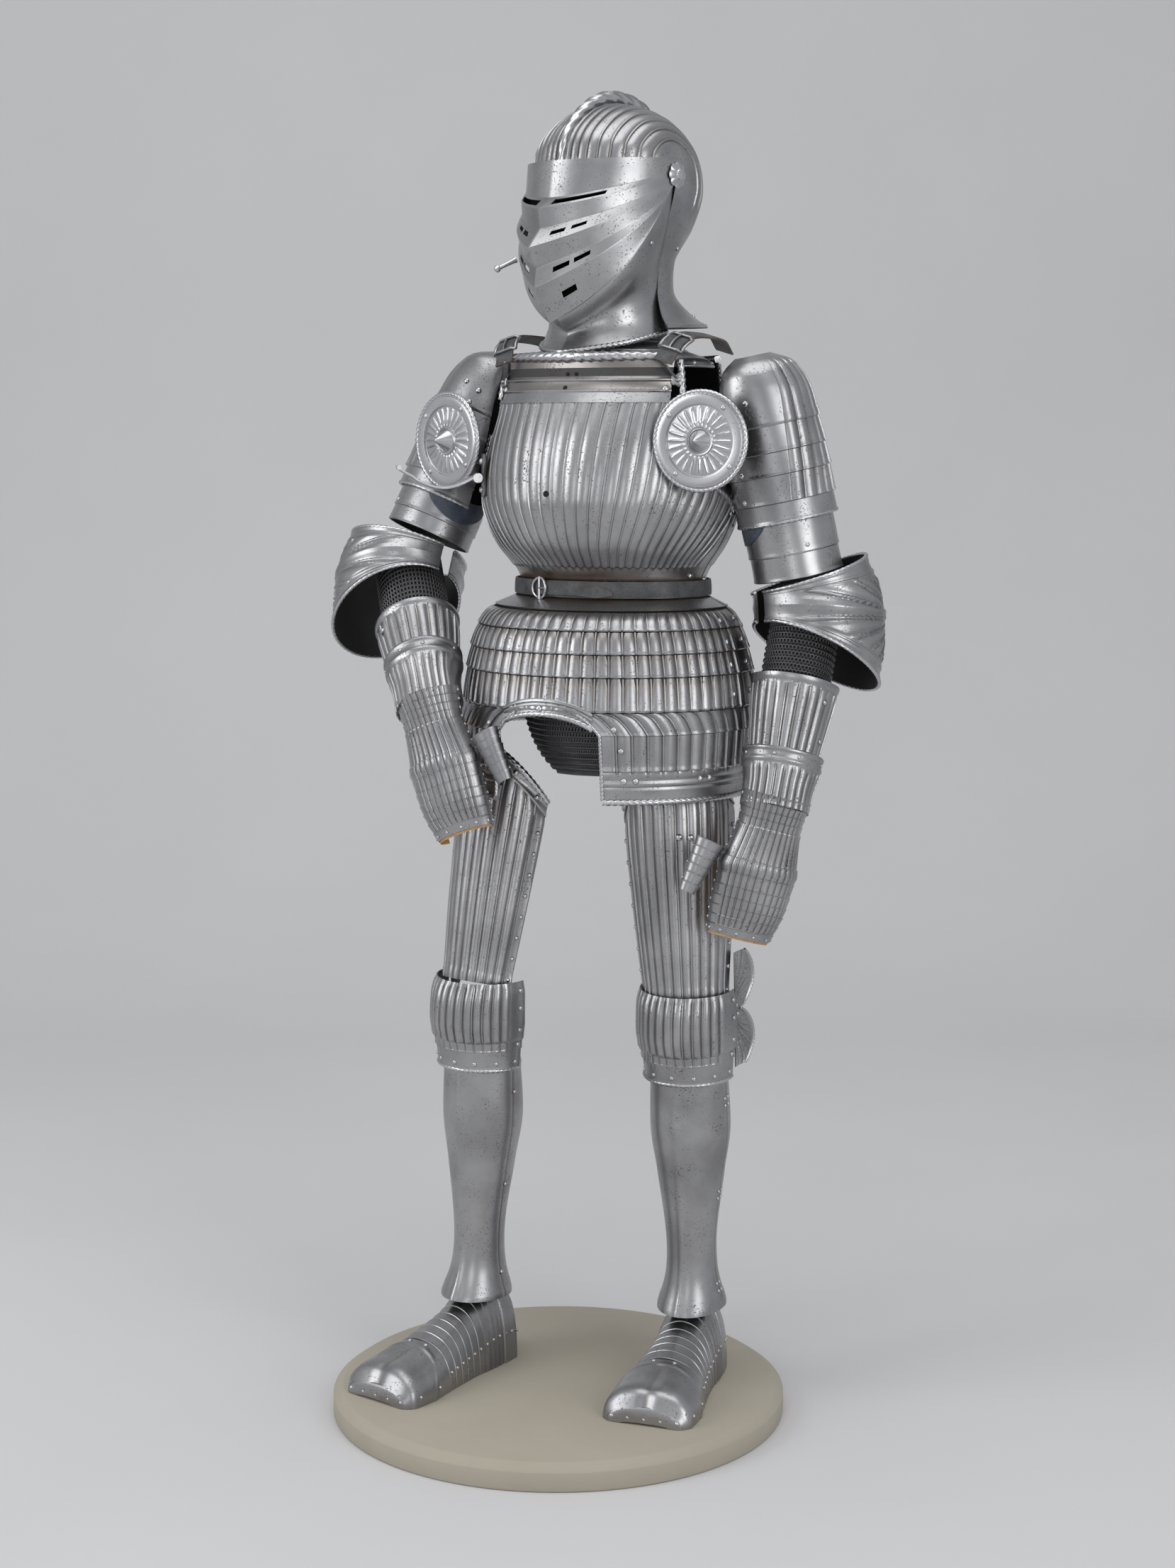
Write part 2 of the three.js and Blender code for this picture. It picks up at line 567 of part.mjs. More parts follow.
const ARMS = [
  {
    side: "left", mirror: 1, rerebraceFoot: 236, couterTop: -84,
    shoulder: { x: 238, y: 130, z: 1400 }, elbow: { x: 290, y: 166, z: 1098 },
    wrist: { x: 288, y: 76, z: 850 }, tip: { x: 258, y: 38, z: 672 },
    upperFacing: { x: 0, y: -1, z: 0 }, foreFacing: { x: 0.5, y: -0.86, z: 0 }, handFacing: { x: 0.72, y: -0.7, z: 0 },
  },
  {
    side: "right", mirror: -1, rerebraceFoot: 212, couterTop: -60,
    shoulder: { x: -190, y: 145, z: 1405 }, elbow: { x: -272, y: 52, z: 1140 },
    wrist: { x: -152, y: -80, z: 975 }, tip: { x: -93, y: -106, z: 826 },
    upperFacing: { x: 0, y: -1, z: 0 }, foreFacing: { x: 0.2, y: -1, z: 0.6 }, handFacing: { x: -0.1, y: -1, z: 0.2 },
  },
];
const ARM_COLUMNS = 14;

function buildArm(arm) {
  const { side, mirror } = arm;
  const [shoulder, elbow, wrist, tip] = [arm.shoulder, arm.elbow, arm.wrist, arm.tip].map((p) => point(p.x, p.y, p.z));
  const facing = (f) => point(f.x, f.y, f.z);
  const upper = limbGroup(shoulder, elbow, facing(arm.upperFacing));
  const fore = limbGroup(elbow, wrist, facing(arm.foreFacing));
  const hand = limbGroup(wrist, tip, facing(arm.handFacing));
  const plate = (rows, edges, columns, steps, wall = PLATE) => (
    wrappedPlate(rows, "down", edges, columns, steps, wall, mirror));
  addPiece(`pauldron_${side}`, plate(PAULDRON_RINGS, {
    from: (v) => mix(-30, -62, v), to: (v) => mix(215, 205, v), top: -44, foot: 175,
  }, ARM_COLUMNS, 6), steel, upper);
  addPiece(`rerebrace_${side}`, plate(REREBRACE_RINGS, {
    from: 0, to: 360, top: 176, foot: arm.rerebraceFoot, wrap: true,
  }, ARM_COLUMNS, 1), steel, upper);
  addPiece(`elbow_mail_${side}`, plate(ELBOW_MAIL_RINGS, {
    from: 0, to: 360, top: -30, foot: 90, wrap: true,
  }, 10, 2, MAIL), mailSteel, fore);
  const bend = elbow.clone().add(shoulder.clone().sub(elbow).normalize()).sub(wrist.clone().sub(elbow).normalize());
  const joint = limbGroup(bend, elbow, facing(arm.foreFacing));
  joint.position.copy(elbow);
  const dip = (u) => 0.5 - 0.5 * Math.cos(2 * Math.PI * u);
  addPiece(`couter_${side}`, plate(COUTER_RINGS, {
    from: COUTER.from,
    to: COUTER.to,
    top: (u) => mix(COUTER.innerTop, arm.couterTop, dip(u)),
    foot: (u) => mix(COUTER.innerFoot, COUTER.outerFoot, dip(u)),
  }, 14, 3), steel, joint);
  addPiece(`cuff_${side}`, plate(CUFF_RINGS, {
    from: 0, to: 360, top: CUFF.top, foot: elbow.distanceTo(wrist) - CUFF.wristGap, wrap: true,
  }, ARM_COLUMNS, 3), steel, fore);
  addPiece(`gauntlet_${side}`, plate(HAND_RINGS, {
    from: -112, to: 112, top: 2, foot: 178,
  }, 10, 5), steel, hand);
  const thumbRoot = point(mirror * -74, 4, -62);
  const thumb = new THREE.Group();
  thumb.position.copy(thumbRoot);
  thumb.rotation.y = degrees(mirror * 12);
  hand.add(thumb);
  addPiece(`thumb_${side}`, plate(THUMB_RINGS, {
    from: -120, to: 120, top: 0, foot: 74,
  }, 6, 3), steel, thumb);
}

// Mail sleeves in the armpits, between the trunk and the upper arms.
const ARMPIT = { top: 1372, foot: 1232, from: 66, to: 112 };

function buildArmpits() {
  const rings = TRUNK_RINGS.map((ring) => ({
    z: ring.z, side: ring.side - 12, front: ring.front - 12, back: ring.back - 12,
    midX: 0, midY: 0,
  }));
  for (const [name, side] of [["armpit_mail_left", 1], ["armpit_mail_right", -1]]) {
    const piece = wrappedPlate(rings, "z", {
      from: ARMPIT.from, to: ARMPIT.to, top: ARMPIT.top, foot: ARMPIT.foot,
    }, 4, 4, MAIL, side);
    piece.translate(TORSO.x, TORSO.y, 0);
    addPiece(name, piece, mailSteel);
  }
}

// ---------------------------------------------------------------- legs
const CUISSE_RINGS = [
  { down: -80, side: 66, front: 78, back: 72, midX: -12 },
  { down: 0, side: 77, front: 78, back: 70, midX: 0 },
  { down: 120, side: 70, front: 72, back: 62, midX: 0 },
  { down: 234, side: 59, front: 61, back: 56, midX: 0 },
];
const CUISSE = { from: -72, to: 92, crest: -72, lame: 20, foot: 242 };
const POLEYN_RINGS = [
  { down: -35, side: 65, front: 66, back: 56 },
  { down: -15, side: 68, front: 74, back: 57 },
  { down: 20, side: 68, front: 77, back: 57 },
  { down: 60, side: 63, front: 66, back: 56 },
  { down: 88, side: 60, front: 60, back: 55 },
];
const GREAVE_RINGS = [
  { down: 84, side: 53, front: 53, back: 54 },
  { down: 160, side: 55, front: 51, back: 64 },
  { down: 230, side: 46, front: 44, back: 54 },
  { down: 340, side: 34, front: 38, back: 38 },
  { down: 400, side: 42, front: 50, back: 44 },
];
const WING = { from: 98, to: 126, top: -84, foot: 76, root: 66, tip: 92 };
// Sections along the foot: ahead is the distance before the ankle.
const FOOT_SECTIONS = [
  { ahead: -64, half: 10, high: 74 },
  { ahead: -50, half: 34, high: 92 },
  { ahead: 0, half: 42, high: 108 },
  { ahead: 60, half: 46, high: 82 },
  { ahead: 120, half: 55, high: 60 },
];
const TOE_SECTIONS = [
  { ahead: 120.6, half: 56, high: 60 },
  { ahead: 165, half: 62, high: 49 },
  { ahead: 198, half: 61, high: 40 },
  { ahead: 209, half: 52, high: 22 },
];
const LEGS = [
  {
    side: "left", mirror: 1, turn: 10,
    hip: { x: 131, y: 110, z: 830 }, knee: { x: 157, y: 84, z: 560 }, ankle: { x: 152, y: 112, z: 120 },
  },
  {
    side: "right", mirror: -1, turn: -9,
    hip: { x: -110, y: 69, z: 830 }, knee: { x: -125, y: 7, z: 560 }, ankle: { x: -137, y: 8, z: 120 },
  },
];

/** The fan at the outer side of the knee: two lobes that flare from the poleyn. */
function kneeWing(mirror) {
  const surface = (u, v) => {
    const lobes = Math.abs(Math.sin(2 * Math.PI * mix(0.04, 0.96, v))) ** 0.5;
    const spread = u * mix(0.35, 1, lobes);
    const angle = degrees(mix(WING.from, WING.to, spread));
    const reach = mix(WING.root, WING.tip, spread * spread);
    const down = mix(WING.top, WING.foot, v);
    return point(mirror * reach * Math.sin(angle), -reach * Math.cos(angle), -down);
  };
  return shell(surface, 3, 6, PLATE);
}

/** A plate over the foot, arched from sole edge to sole edge. */
function footPlate(sections, columns, steps) {
  const first = sections[0].ahead;
  const last = sections[sections.length - 1].ahead;
  const surface = (u, v) => {
    const section = sectionAt(sections, "ahead", mix(first, last, v));
    const angle = degrees(mix(-90, 90, u));
    const across = Math.sign(Math.sin(angle)) * Math.abs(Math.sin(angle)) ** 0.8;
    const up = Math.abs(Math.cos(angle)) ** 0.8;
    return point(section.half * across, -section.ahead, section.high * up);
  };
  return shell(surface, columns, steps, PLATE);
}

function buildLeg(leg) {
  const { side, mirror } = leg;
  const [hip, knee, ankle] = [leg.hip, leg.knee, leg.ankle].map((p) => point(p.x, p.y, p.z));
  const facing = point(Math.sin(degrees(leg.turn * 0.6)), -Math.cos(degrees(leg.turn * 0.6)), 0);
  const thigh = limbGroup(hip, knee, facing);
  const shin = limbGroup(knee, ankle, facing);
  const plate = (rows, edges, columns, steps, wall = PLATE) => (
    wrappedPlate(rows, "down", edges, columns, steps, wall, mirror));
  const crest = (u) => CUISSE.crest * Math.sin(Math.PI * mix(0.02, 0.88, u));
  addPiece(`cuisse_top_${side}`, plate(CUISSE_RINGS, {
    from: CUISSE.from, to: CUISSE.to, top: crest, foot: (u) => crest(u) + CUISSE.lame,
  }, 10, 1), steel, thigh);
  addPiece(`cuisse_${side}`, plate(CUISSE_RINGS, {
    from: CUISSE.from, to: CUISSE.to, top: (u) => crest(u) + CUISSE.lame + SEAM, foot: CUISSE.foot,
  }, 10, 3), steel, thigh);
  addPiece(`poleyn_${side}`, plate(POLEYN_RINGS, {
    from: -96, to: 96, top: -35, foot: 88,
  }, 10, 4), steel, shin);
  addPiece(`knee_wing_${side}`, kneeWing(mirror), steel, shin);
  addPiece(`greave_${side}`, plate(GREAVE_RINGS, {
    from: 0, to: 360, top: 84, foot: 408, wrap: true,
  }, 12, 4), steel, shin);
  const foot = new THREE.Group();
  foot.position.set(leg.ankle.x, leg.ankle.y, PLINTH.height + REST);
  foot.rotation.z = degrees(leg.turn);
  suit.add(foot);
  addPiece(`sabaton_${side}`, footPlate(FOOT_SECTIONS, 10, 4), steel, foot);
  addPiece(`toe_cap_${side}`, footPlate(TOE_SECTIONS, 10, 3), steel, foot);
}

buildPlinth();
buildTrunk();
buildHelmet();
buildArmpits();
for (const arm of ARMS) buildArm(arm);
for (const leg of LEGS) buildLeg(leg);

export default suit;
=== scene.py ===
"""Looks of a suit of fluted plate armour on a round plinth.

Sizes are millimetres until a mesh is made. +Z is up, the suit faces -Y and its
wearer's left is +X. Every plate is a thin closed shell that follows the form of its
solid in the frame, with its flutes, lames, rolled edges and rivets as real shapes.
"""
import logging
import math
from dataclasses import dataclass, field
from enum import Enum
from typing import Callable, Optional, Sequence, Union

import bpy
import numpy as np
from mathutils import Matrix, Vector


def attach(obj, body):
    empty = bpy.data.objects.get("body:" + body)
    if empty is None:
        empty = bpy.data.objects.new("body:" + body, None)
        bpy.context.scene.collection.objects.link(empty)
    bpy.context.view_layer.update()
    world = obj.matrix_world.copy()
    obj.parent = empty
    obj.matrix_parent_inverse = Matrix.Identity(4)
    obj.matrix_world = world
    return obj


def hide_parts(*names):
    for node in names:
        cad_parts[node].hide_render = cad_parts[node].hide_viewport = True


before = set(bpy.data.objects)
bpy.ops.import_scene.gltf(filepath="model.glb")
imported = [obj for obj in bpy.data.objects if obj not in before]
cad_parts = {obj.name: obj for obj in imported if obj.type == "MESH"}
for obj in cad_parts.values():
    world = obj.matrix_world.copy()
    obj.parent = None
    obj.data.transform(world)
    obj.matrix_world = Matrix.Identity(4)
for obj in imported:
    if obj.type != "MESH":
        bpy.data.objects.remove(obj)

log = logging.getLogger("armour")

Array = np.ndarray
Surface = Callable[[Array, Array], Array]
Edge = Union[float, Callable[[Array], Array]]

MM = 0.001
PLATE = 1.6            # thickness of a steel plate
LEATHER = 2.6          # thickness of a strap
INSIDE = -9.0          # depth written on the inner skin of a plate
SHARP = math.radians(38)


class Slot(Enum):
    """The record's material slots."""

    STEEL = "steel"
    MAIL = "mail"
    LEATHER = "leather"
    PLINTH = "plinth_paint"


class Body(Enum):
    """The frame's bodies."""

    SUIT = "suit"
    VISOR = "visor"
    LANCE = "lance_arm"


# ------------------------------------------------------------------ small maths
def mix(a: Array, b: Array, t: Array) -> Array:
    """Return the value a share t of the way from a to b."""
    return a + (b - a) * t


def ramp(x: Array, low: float, high: float) -> Array:
    """Return a smooth rise from 0 at low to 1 at high."""
    t = np.clip((x - low) / (high - low), 0.0, 1.0)
    return t * t * (3 - 2 * t)


def read(edge: Edge, t: Array) -> Array:
    """Return an edge's value at t, whether it is a number or a function."""
    return edge(t) if callable(edge) else edge + 0.0 * t


def unit(v: Array) -> Array:
    """Return vectors scaled to length one."""
    return v / np.maximum(np.linalg.norm(v, axis=-1, keepdims=True), 1e-12)


def through(places: Array, values: Array, at: Array) -> Array:
    """Read a smooth curve through uneven stations, flat where it turns.

    Args:
        places: the stations, in rising order.
        values: the value at each station.
        at: where the curve is read.

    Returns:
        The curve's values at those places.
    """
    step = np.diff(places)
    rise = np.diff(values) / step
    slope = np.empty(len(places))
    slope[0], slope[-1] = rise[0], rise[-1]
    before, after = rise[:-1], rise[1:]
    middle = (before * step[1:] + after * step[:-1]) / (step[1:] + step[:-1])
    limit = 3 * np.minimum(np.abs(before), np.abs(after))
    slope[1:-1] = np.where(before * after <= 0, 0.0, np.sign(middle) * np.minimum(np.abs(middle), limit))
    i = np.clip(np.searchsorted(places, at) - 1, 0, len(step) - 1)
    t = np.clip((at - places[i]) / step[i], 0.0, 1.0)
    bend = t * t * (3 - 2 * t)
    return (
        mix(values[i], values[i + 1], bend)
        + step[i] * slope[i] * (t - 2 * t**2 + t**3)
        + step[i] * slope[i + 1] * (t**3 - t**2)
    )


def resample(line: Array, step: float) -> Array:
    """Return a polyline with even steps of about this length."""
    lengths = np.concatenate([[0.0], np.cumsum(np.linalg.norm(np.diff(line, axis=0), axis=1))])
    count = max(2, int(round(lengths[-1] / step)) + 1)
    at = np.linspace(0, lengths[-1], count)
    return np.stack([np.interp(at, lengths, line[:, k]) for k in range(3)], axis=1)


def joined(*runs: Sequence[float]) -> Array:
    """Return sample places from several runs, sorted, without doubles."""
    places = np.unique(np.concatenate([np.atleast_1d(np.asarray(run, float)) for run in runs]))
    span = places[-1] - places[0]
    return places[np.concatenate([[True], np.diff(places) > 1e-6 * span])]


# ------------------------------------------------------------------ section tables
@dataclass(frozen=True)
class Rings:
    """Oval sections along an axis, as rows of place, side, front, back, midX, midY."""

    rows: tuple
    down: bool = False

    def read(self, column: int, place: Array) -> Array:
        """Return one column at these places."""
        table = np.array(sorted(tuple(row) + (0.0,) * (6 - len(row)) for row in self.rows))
        return through(table[:, 0], table[:, column], place)

    def point(self, place: Array, angle: Array) -> Array:
        """Return points of the ring: angle 0 is the front, +90 degrees the left side."""
        across, ahead = np.sin(np.radians(angle)), np.cos(np.radians(angle))
        reach = np.where(ahead > 0, self.read(2, place), self.read(3, place))
        x = self.read(4, place) + self.read(1, place) * across
        y = self.read(5, place) - reach * ahead
        return np.stack([x, y, -place if self.down else place], axis=-1)

    def wrapped(self, start: Edge, end: Edge, top: Edge, foot: Edge) -> Surface:
        """Return a plate's surface between two angles and two ends, for u and v from 0 to 1."""

        def surface(u: Array, v: Array) -> Array:
            return self.point(mix(read(top, u), read(foot, u), v), mix(read(start, v), read(end, v), u))

        return surface


@dataclass(frozen=True)
class Hoops:
    """Hoops over the head, as rows of half, sideY, sideZ, midY, midZ, ridge."""

    rows: tuple
    reach: float
    comb: bool = False
    crisp: bool = False

    KEEL = 2.0
    COMB_HALF = 0.16

    def surface(self, u: Array, v: Array) -> Array:
        """Return points for u across from right to left and v along the hoops."""
        table = np.array(self.rows, float)
        steps = np.arange(len(table), dtype=float)
        place = np.asarray(v) * steps[-1]
        half, side_y, side_z, mid_y, mid_z, ridge = (
            np.interp(place, steps, column) if self.crisp else through(steps, column, place)
            for column in table.T
        )
        off = np.abs(2 * u - 1)
        angle = np.radians(self.reach * np.sign(u - 0.5) * off ** (1.6 if self.comb else 1.0))
        if self.comb:
            crest = np.maximum(0.0, 1 - off / self.COMB_HALF)
        else:
            crest = (1 - np.abs(np.sin(angle))) ** self.KEEL
        ahead_y, ahead_z = mid_y - side_y, mid_z - side_z
        length = np.hypot(ahead_y, ahead_z)
        swell = np.cos(angle) + ridge * crest / length
        return np.stack([half * np.sin(angle), side_y + ahead_y * swell, side_z + ahead_z * swell], axis=-1)


# ------------------------------------------------------------------ reliefs
@dataclass(frozen=True)
class Flutes:
    """Ribs side by side: a slim bead, a crease at each side and a swelling strip between."""

    bead: float = 0.9
    crease: float = 0.45
    swell: float = 0.5

    OFFS = (0.0, 0.045, 0.1, 0.16, 0.32, 0.5)

    def heights(self, place: Array) -> Array:
        """Return the height at places counted in flutes; beads stand at whole numbers."""
        off = np.abs(place - np.round(place))
        profile = (self.bead, self.bead * 0.85, -self.crease, -self.crease * 0.5, self.swell * 0.75,
                   self.swell)
        return np.interp(off, self.OFFS, profile)

    def places(self, first: float, last: float) -> Array:
        """Return sample places that land on every bead and crease between two counts."""
        whole = np.arange(math.floor(first) - 1, math.ceil(last) + 2)
        offs = np.array([-o for o in self.OFFS[1:-1]] + list(self.OFFS))
        every = np.sort((whole[:, None] + offs[None, :]).ravel())
        inside = every[(every > first + 0.01) & (every < last - 0.01)]
        return joined(inside, [first, last])


def lames(edges: Sequence[float], lift: float = 1.7, bead: float = 0.5, fill: int = 3,
          lower_over: bool = False) -> tuple:
    """Return sample places and heights of plates that lap like tiles.

    Args:
        edges: the plates' ends, in rising order.
        lift: how far the lapping end of a plate stands off the next one.
        bead: height of the small roll at the lapping end.
        fill: rows between a plate's ends.
        lower_over: whether each plate laps over the one above it.

    Returns:
        The places and the height at each of them.
    """
    places, heights = [], []
    for low, high in zip(edges[:-1], edges[1:]):
        t = np.concatenate([[0.0], np.linspace(0.08, 0.8, fill), [0.88, 0.93, 0.97, 1.0]])
        h = lift * t + np.interp(t, [0.88, 0.93, 0.97, 1.0], [0, bead, bead, -bead])
        if lower_over:
            t, h = 1 - t[::-1], h[::-1]
        gap = 1e-3 * (edges[-1] - edges[0])
        places.append(mix(low + gap, high - gap, t))
        heights.append(h)
    places[0][0], places[-1][-1] = edges[0], edges[-1]
    return np.concatenate(places), np.concatenate(heights)


def bands(rows: Sequence[tuple]) -> tuple:
    """Split rows of place and height into sample places and heights."""
    table = np.array(sorted(rows), float)
    return table[:, 0], table[:, 1]


# ------------------------------------------------------------------ placing
@dataclass(frozen=True)
class Place:
    """Where a sub-assembly's own frame stands, and whether it is the mirrored side."""

    matrix: Array = field(default_factory=lambda: np.eye(4))
    mirror: bool = False

    def put(self, points: Array) -> Array:
        """Return points moved into the frame of the whole suit."""
        local = points * np.array([-1.0, 1, 1]) if self.mirror else points
        return local @ self.matrix[:3, :3].T + self.matrix[:3, 3]

    def turn(self, vectors: Array) -> Array:
        """Return directions turned into the frame of the whole suit."""
        local = vectors * np.array([-1.0, 1, 1]) if self.mirror else vectors
        return local @ self.matrix[:3, :3].T

    @staticmethod
    def at(x: float, y: float, z: float = 0.0, turn: float = 0.0, mirror: bool = False) -> "Place":
        """Return a place at a point, turned about +Z by degrees."""
        matrix = np.array(Matrix.Translation((x, y, z)) @ Matrix.Rotation(math.radians(turn), 4, "Z"))
        return Place(matrix, mirror)

    @staticmethod
    def limb(upper: Sequence[float], lower: Sequence[float], facing: Sequence[float], mirror: bool = False,
             origin: Optional[Sequence[float]] = None) -> "Place":
        """Return a place whose +Z runs from lower to upper and whose -Y looks along facing."""
        upper, lower, facing = (np.array(v, float) for v in (upper, lower, facing))
        up = unit(upper - lower)
        front = unit(facing - facing.dot(up) * up)
        matrix = np.eye(4)
        matrix[:3, 0], matrix[:3, 1], matrix[:3, 2] = np.cross(-front, up), -front, up
        matrix[:3, 3] = upper if origin is None else origin
        return Place(matrix, mirror)

    def within(self, inner: "Place") -> "Place":
        """Return the place of something that stands in this place, before its mirroring."""
        flip = np.diag([-1.0 if self.mirror else 1.0, 1, 1, 1])
        return Place(self.matrix @ flip @ inner.matrix @ flip, self.mirror)


# ------------------------------------------------------------------ gathering meshes
class Form:
    """Points and faces gathered for one piece, in the frame of the whole suit."""

    def __init__(self) -> None:
        """Start with nothing."""
        self.points: list = []
        self.faces: list = []
        self.depths: list = []
        self.count = 0

    def add(self, points: Array, faces: Sequence[tuple], depth: Union[float, Array] = 0.0) -> None:
        """Add a mesh.

        Args:
            points: its points, in millimetres.
            faces: pairs of an index array with one row a face, and a material number.
            depth: how far each point stands out of its plate; the steel finish reads it to paint tarnish
                and shade into recesses and a dark inner skin.
        """
        self.points.append(points)
        self.depths.append(np.broadcast_to(depth, len(points)))
        for rows, slot in faces:
            if len(rows):
                self.faces.append((np.asarray(rows) + self.count, slot))
        self.count += len(points)

    def mesh(self, name: str) -> bpy.types.Mesh:
        """Return what was gathered as a Blender mesh, smooth but for its sharp edges."""
        points = np.concatenate(self.points)
        used = np.unique(np.concatenate([rows.ravel() for rows, _ in self.faces]))
        number = np.full(len(points), -1)
        number[used] = np.arange(len(used))
        corners = np.concatenate([number[rows].ravel() for rows, _ in self.faces])
        sizes = np.concatenate([np.full(len(rows), rows.shape[1]) for rows, _ in self.faces])
        slots = np.concatenate([np.full(len(rows), slot) for rows, slot in self.faces])
        mesh = bpy.data.meshes.new(name)
        mesh.vertices.add(len(used))
        mesh.vertices.foreach_set("co", (points[used] * MM).astype(np.float32).ravel())
        mesh.loops.add(len(corners))
        mesh.loops.foreach_set("vertex_index", corners.astype(np.int32))
        mesh.polygons.add(len(sizes))
        starts = np.concatenate([[0], np.cumsum(sizes)[:-1]])
        mesh.polygons.foreach_set("loop_start", starts.astype(np.int32))
        mesh.polygons.foreach_set("material_index", slots.astype(np.int32))
        mesh.polygons.foreach_set("use_smooth", np.ones(len(sizes), bool))
        mesh.update(calc_edges=True)
        depth = mesh.attributes.new("depth", "FLOAT", "POINT")
        depth.data.foreach_set("value", np.concatenate(self.depths)[used].astype(np.float32))
        mesh.set_sharp_from_angle(angle=SHARP)
        mesh.validate()
        return mesh


@dataclass
class Plate:
    """A thin shell over a surface, with relief on its outer skin."""

    surface: Surface
    us: Array
    vs: Array
    relief: Union[float, Array] = 0.0
    wall: float = PLATE
    wrap: bool = False
    holes: Sequence[tuple] = ()
    border: int = 0
    outward: int = 0

    def __post_init__(self) -> None:
        """Add sample places for the holes, then read the skin's points and normals."""
        if self.holes:
            low_u, high_u, low_v, high_v = np.array(self.holes).T
            old_u, old_v = self.us, self.vs
            self.us, self.vs = joined(old_u, low_u, high_u), joined(old_v, low_v, high_v)
            if np.ndim(self.relief) == 2:
                rows = np.stack([np.interp(self.us, old_u, row) for row in self.relief])
                self.relief = np.stack([np.interp(self.vs, old_v, column) for column in rows.T], axis=1)
        u, v = np.meshgrid(self.us, self.vs)
        self.base, self.normal = self.skin(u, v)

    def skin(self, u: Array, v: Array) -> tuple:
        """Return points and outward normals of the bare surface."""
        small_u, small_v = 1e-3 * (self.us[-1] - self.us[0]), 1e-3 * (self.vs[-1] - self.vs[0])
        low_u, high_u = u - small_u, u + small_u
        if not self.wrap:
            low_u, high_u = np.maximum(low_u, self.us[0]), np.minimum(high_u, self.us[-1])
        low_v, high_v = np.maximum(v - small_v, self.vs[0]), np.minimum(v + small_v, self.vs[-1])
        along = self.surface(high_u, v) - self.surface(low_u, v)
        down = self.surface(u, high_v) - self.surface(u, low_v)
        points, normal = self.surface(u, v), unit(np.cross(along, down))
        if not self.outward:
            middle = points.reshape(-1, 3).mean(axis=0)
            self.outward = 1 if float((normal * (points - middle)).sum()) > 0 else -1
        return points, normal * self.outward

    def spot(self, u: Array, v: Array, lift: float = 0.0) -> tuple:
        """Return points lifted off the skin, with their normals."""
        points, normal = self.skin(np.asarray(u, float), np.asarray(v, float))
        return points + normal * lift, normal

    def add_to(self, form: Form, place: Place) -> None:
        """Add the closed shell to a form."""
        columns = len(self.us) - (1 if self.wrap else 0)
        relief = np.broadcast_to(self.relief, self.base.shape[:2])[:, :columns]
        base, normal = self.base[:, :columns], self.normal[:, :columns]
        outer, inner = base + normal * relief[..., None], base - normal * self.wall
        rows, cells = len(self.vs) - 1, columns - (0 if self.wrap else 1)
        keep = np.ones((rows, cells), bool)
        mid_u = (self.us[:-1] + self.us[1:])[:cells] / 2
        mid_v = (self.vs[:-1] + self.vs[1:]) / 2
        for low_u, high_u, low_v, high_v in self.holes:
            inside_u = (mid_u > low_u) & (mid_u < high_u)
            keep &= ~(((mid_v > low_v) & (mid_v < high_v))[:, None] & inside_u[None, :])
        r, c = np.nonzero(keep)
        right = (c + 1) % columns
        a, b, d, e = r * columns + c, r * columns + right, (r + 1) * columns + right, (r + 1) * columns + c
        count = (rows + 1) * columns
        skins = [np.stack([a, e, d, b], 1), count + np.stack([a, b, d, e], 1)]
        padded = np.pad(keep, 1)
        if self.wrap:
            padded[1:-1, 0], padded[1:-1, -1] = keep[:, -1], keep[:, 0]
        walls = []
        for shift, first, second in (((0, 1), a, b), ((2, 1), d, e), ((1, 0), e, a), ((1, 2), b, d)):
            open_side = ~padded[r + shift[0], c + shift[1]]
            p, q = first[open_side], second[open_side]
            walls.append(np.stack([p, q, count + q, count + p], 1))
        faces = [(rows_, 0) for rows_ in skins] + [(rows_, self.border) for rows_ in walls]
        if (self.outward < 0) == place.mirror:
            faces = [(rows_[:, ::-1], slot) for rows_, slot in faces]
        points = np.concatenate([outer.reshape(-1, 3), inner.reshape(-1, 3)])
        depth = np.concatenate([relief.ravel(), np.full(count, INSIDE)])
        form.add(place.put(points), faces, depth)


def turned(form: Form, place: Place, profile: Sequence[tuple], count: int = 24, lobes: int = 0,
           notch: float = 0.0, smooth: float = 1.0) -> None:
    """Add a closed body of revolution about the place's own Z.

    Args:
        form: what it is added to.
        place: its frame.
        profile: rows of radius and height, from one end of the axis to the other.
        count: steps round the axis.
        lobes: how many scallops there are round the rim.
        notch: how deep the scallops cut, as a share of the radius.
        smooth: power that rounds the scallops.
    """
    radius, height = np.array(profile, float).T
    angle = np.linspace(0, 2 * np.pi, count, endpoint=False)
    scallop = 1 - notch * (1 - np.abs(np.cos(lobes * angle / 2)) ** smooth) if lobes else np.ones(count)
    ring = radius[:, None] * mix(1.0, scallop[None, :], (radius / radius.max())[:, None])
    body = np.stack([ring * np.cos(angle), ring * np.sin(angle), np.repeat(height[:, None], count, 1)], -1)
    rows = np.arange(len(radius) - 1)[:, None] * count
    c, n = np.arange(count)[None, :], (np.arange(count)[None, :] + 1) % count
    quads = np.stack([rows + c, rows + n, rows + count + n, rows + count + c], -1).reshape(-1, 4)
    last = (len(radius) - 1) * count
    caps = [(np.arange(count)[None, ::-1], 0), (last + np.arange(count)[None, :], 0)]
    faces = [(quads, 0)] + caps
    if height[-1] < height[0]:
        faces = [(rows_[:, ::-1], slot) for rows_, slot in faces]
    if place.mirror:
        faces = [(rows_[:, ::-1], slot) for rows_, slot in faces]
    form.add(place.put(body.reshape(-1, 3)), faces)


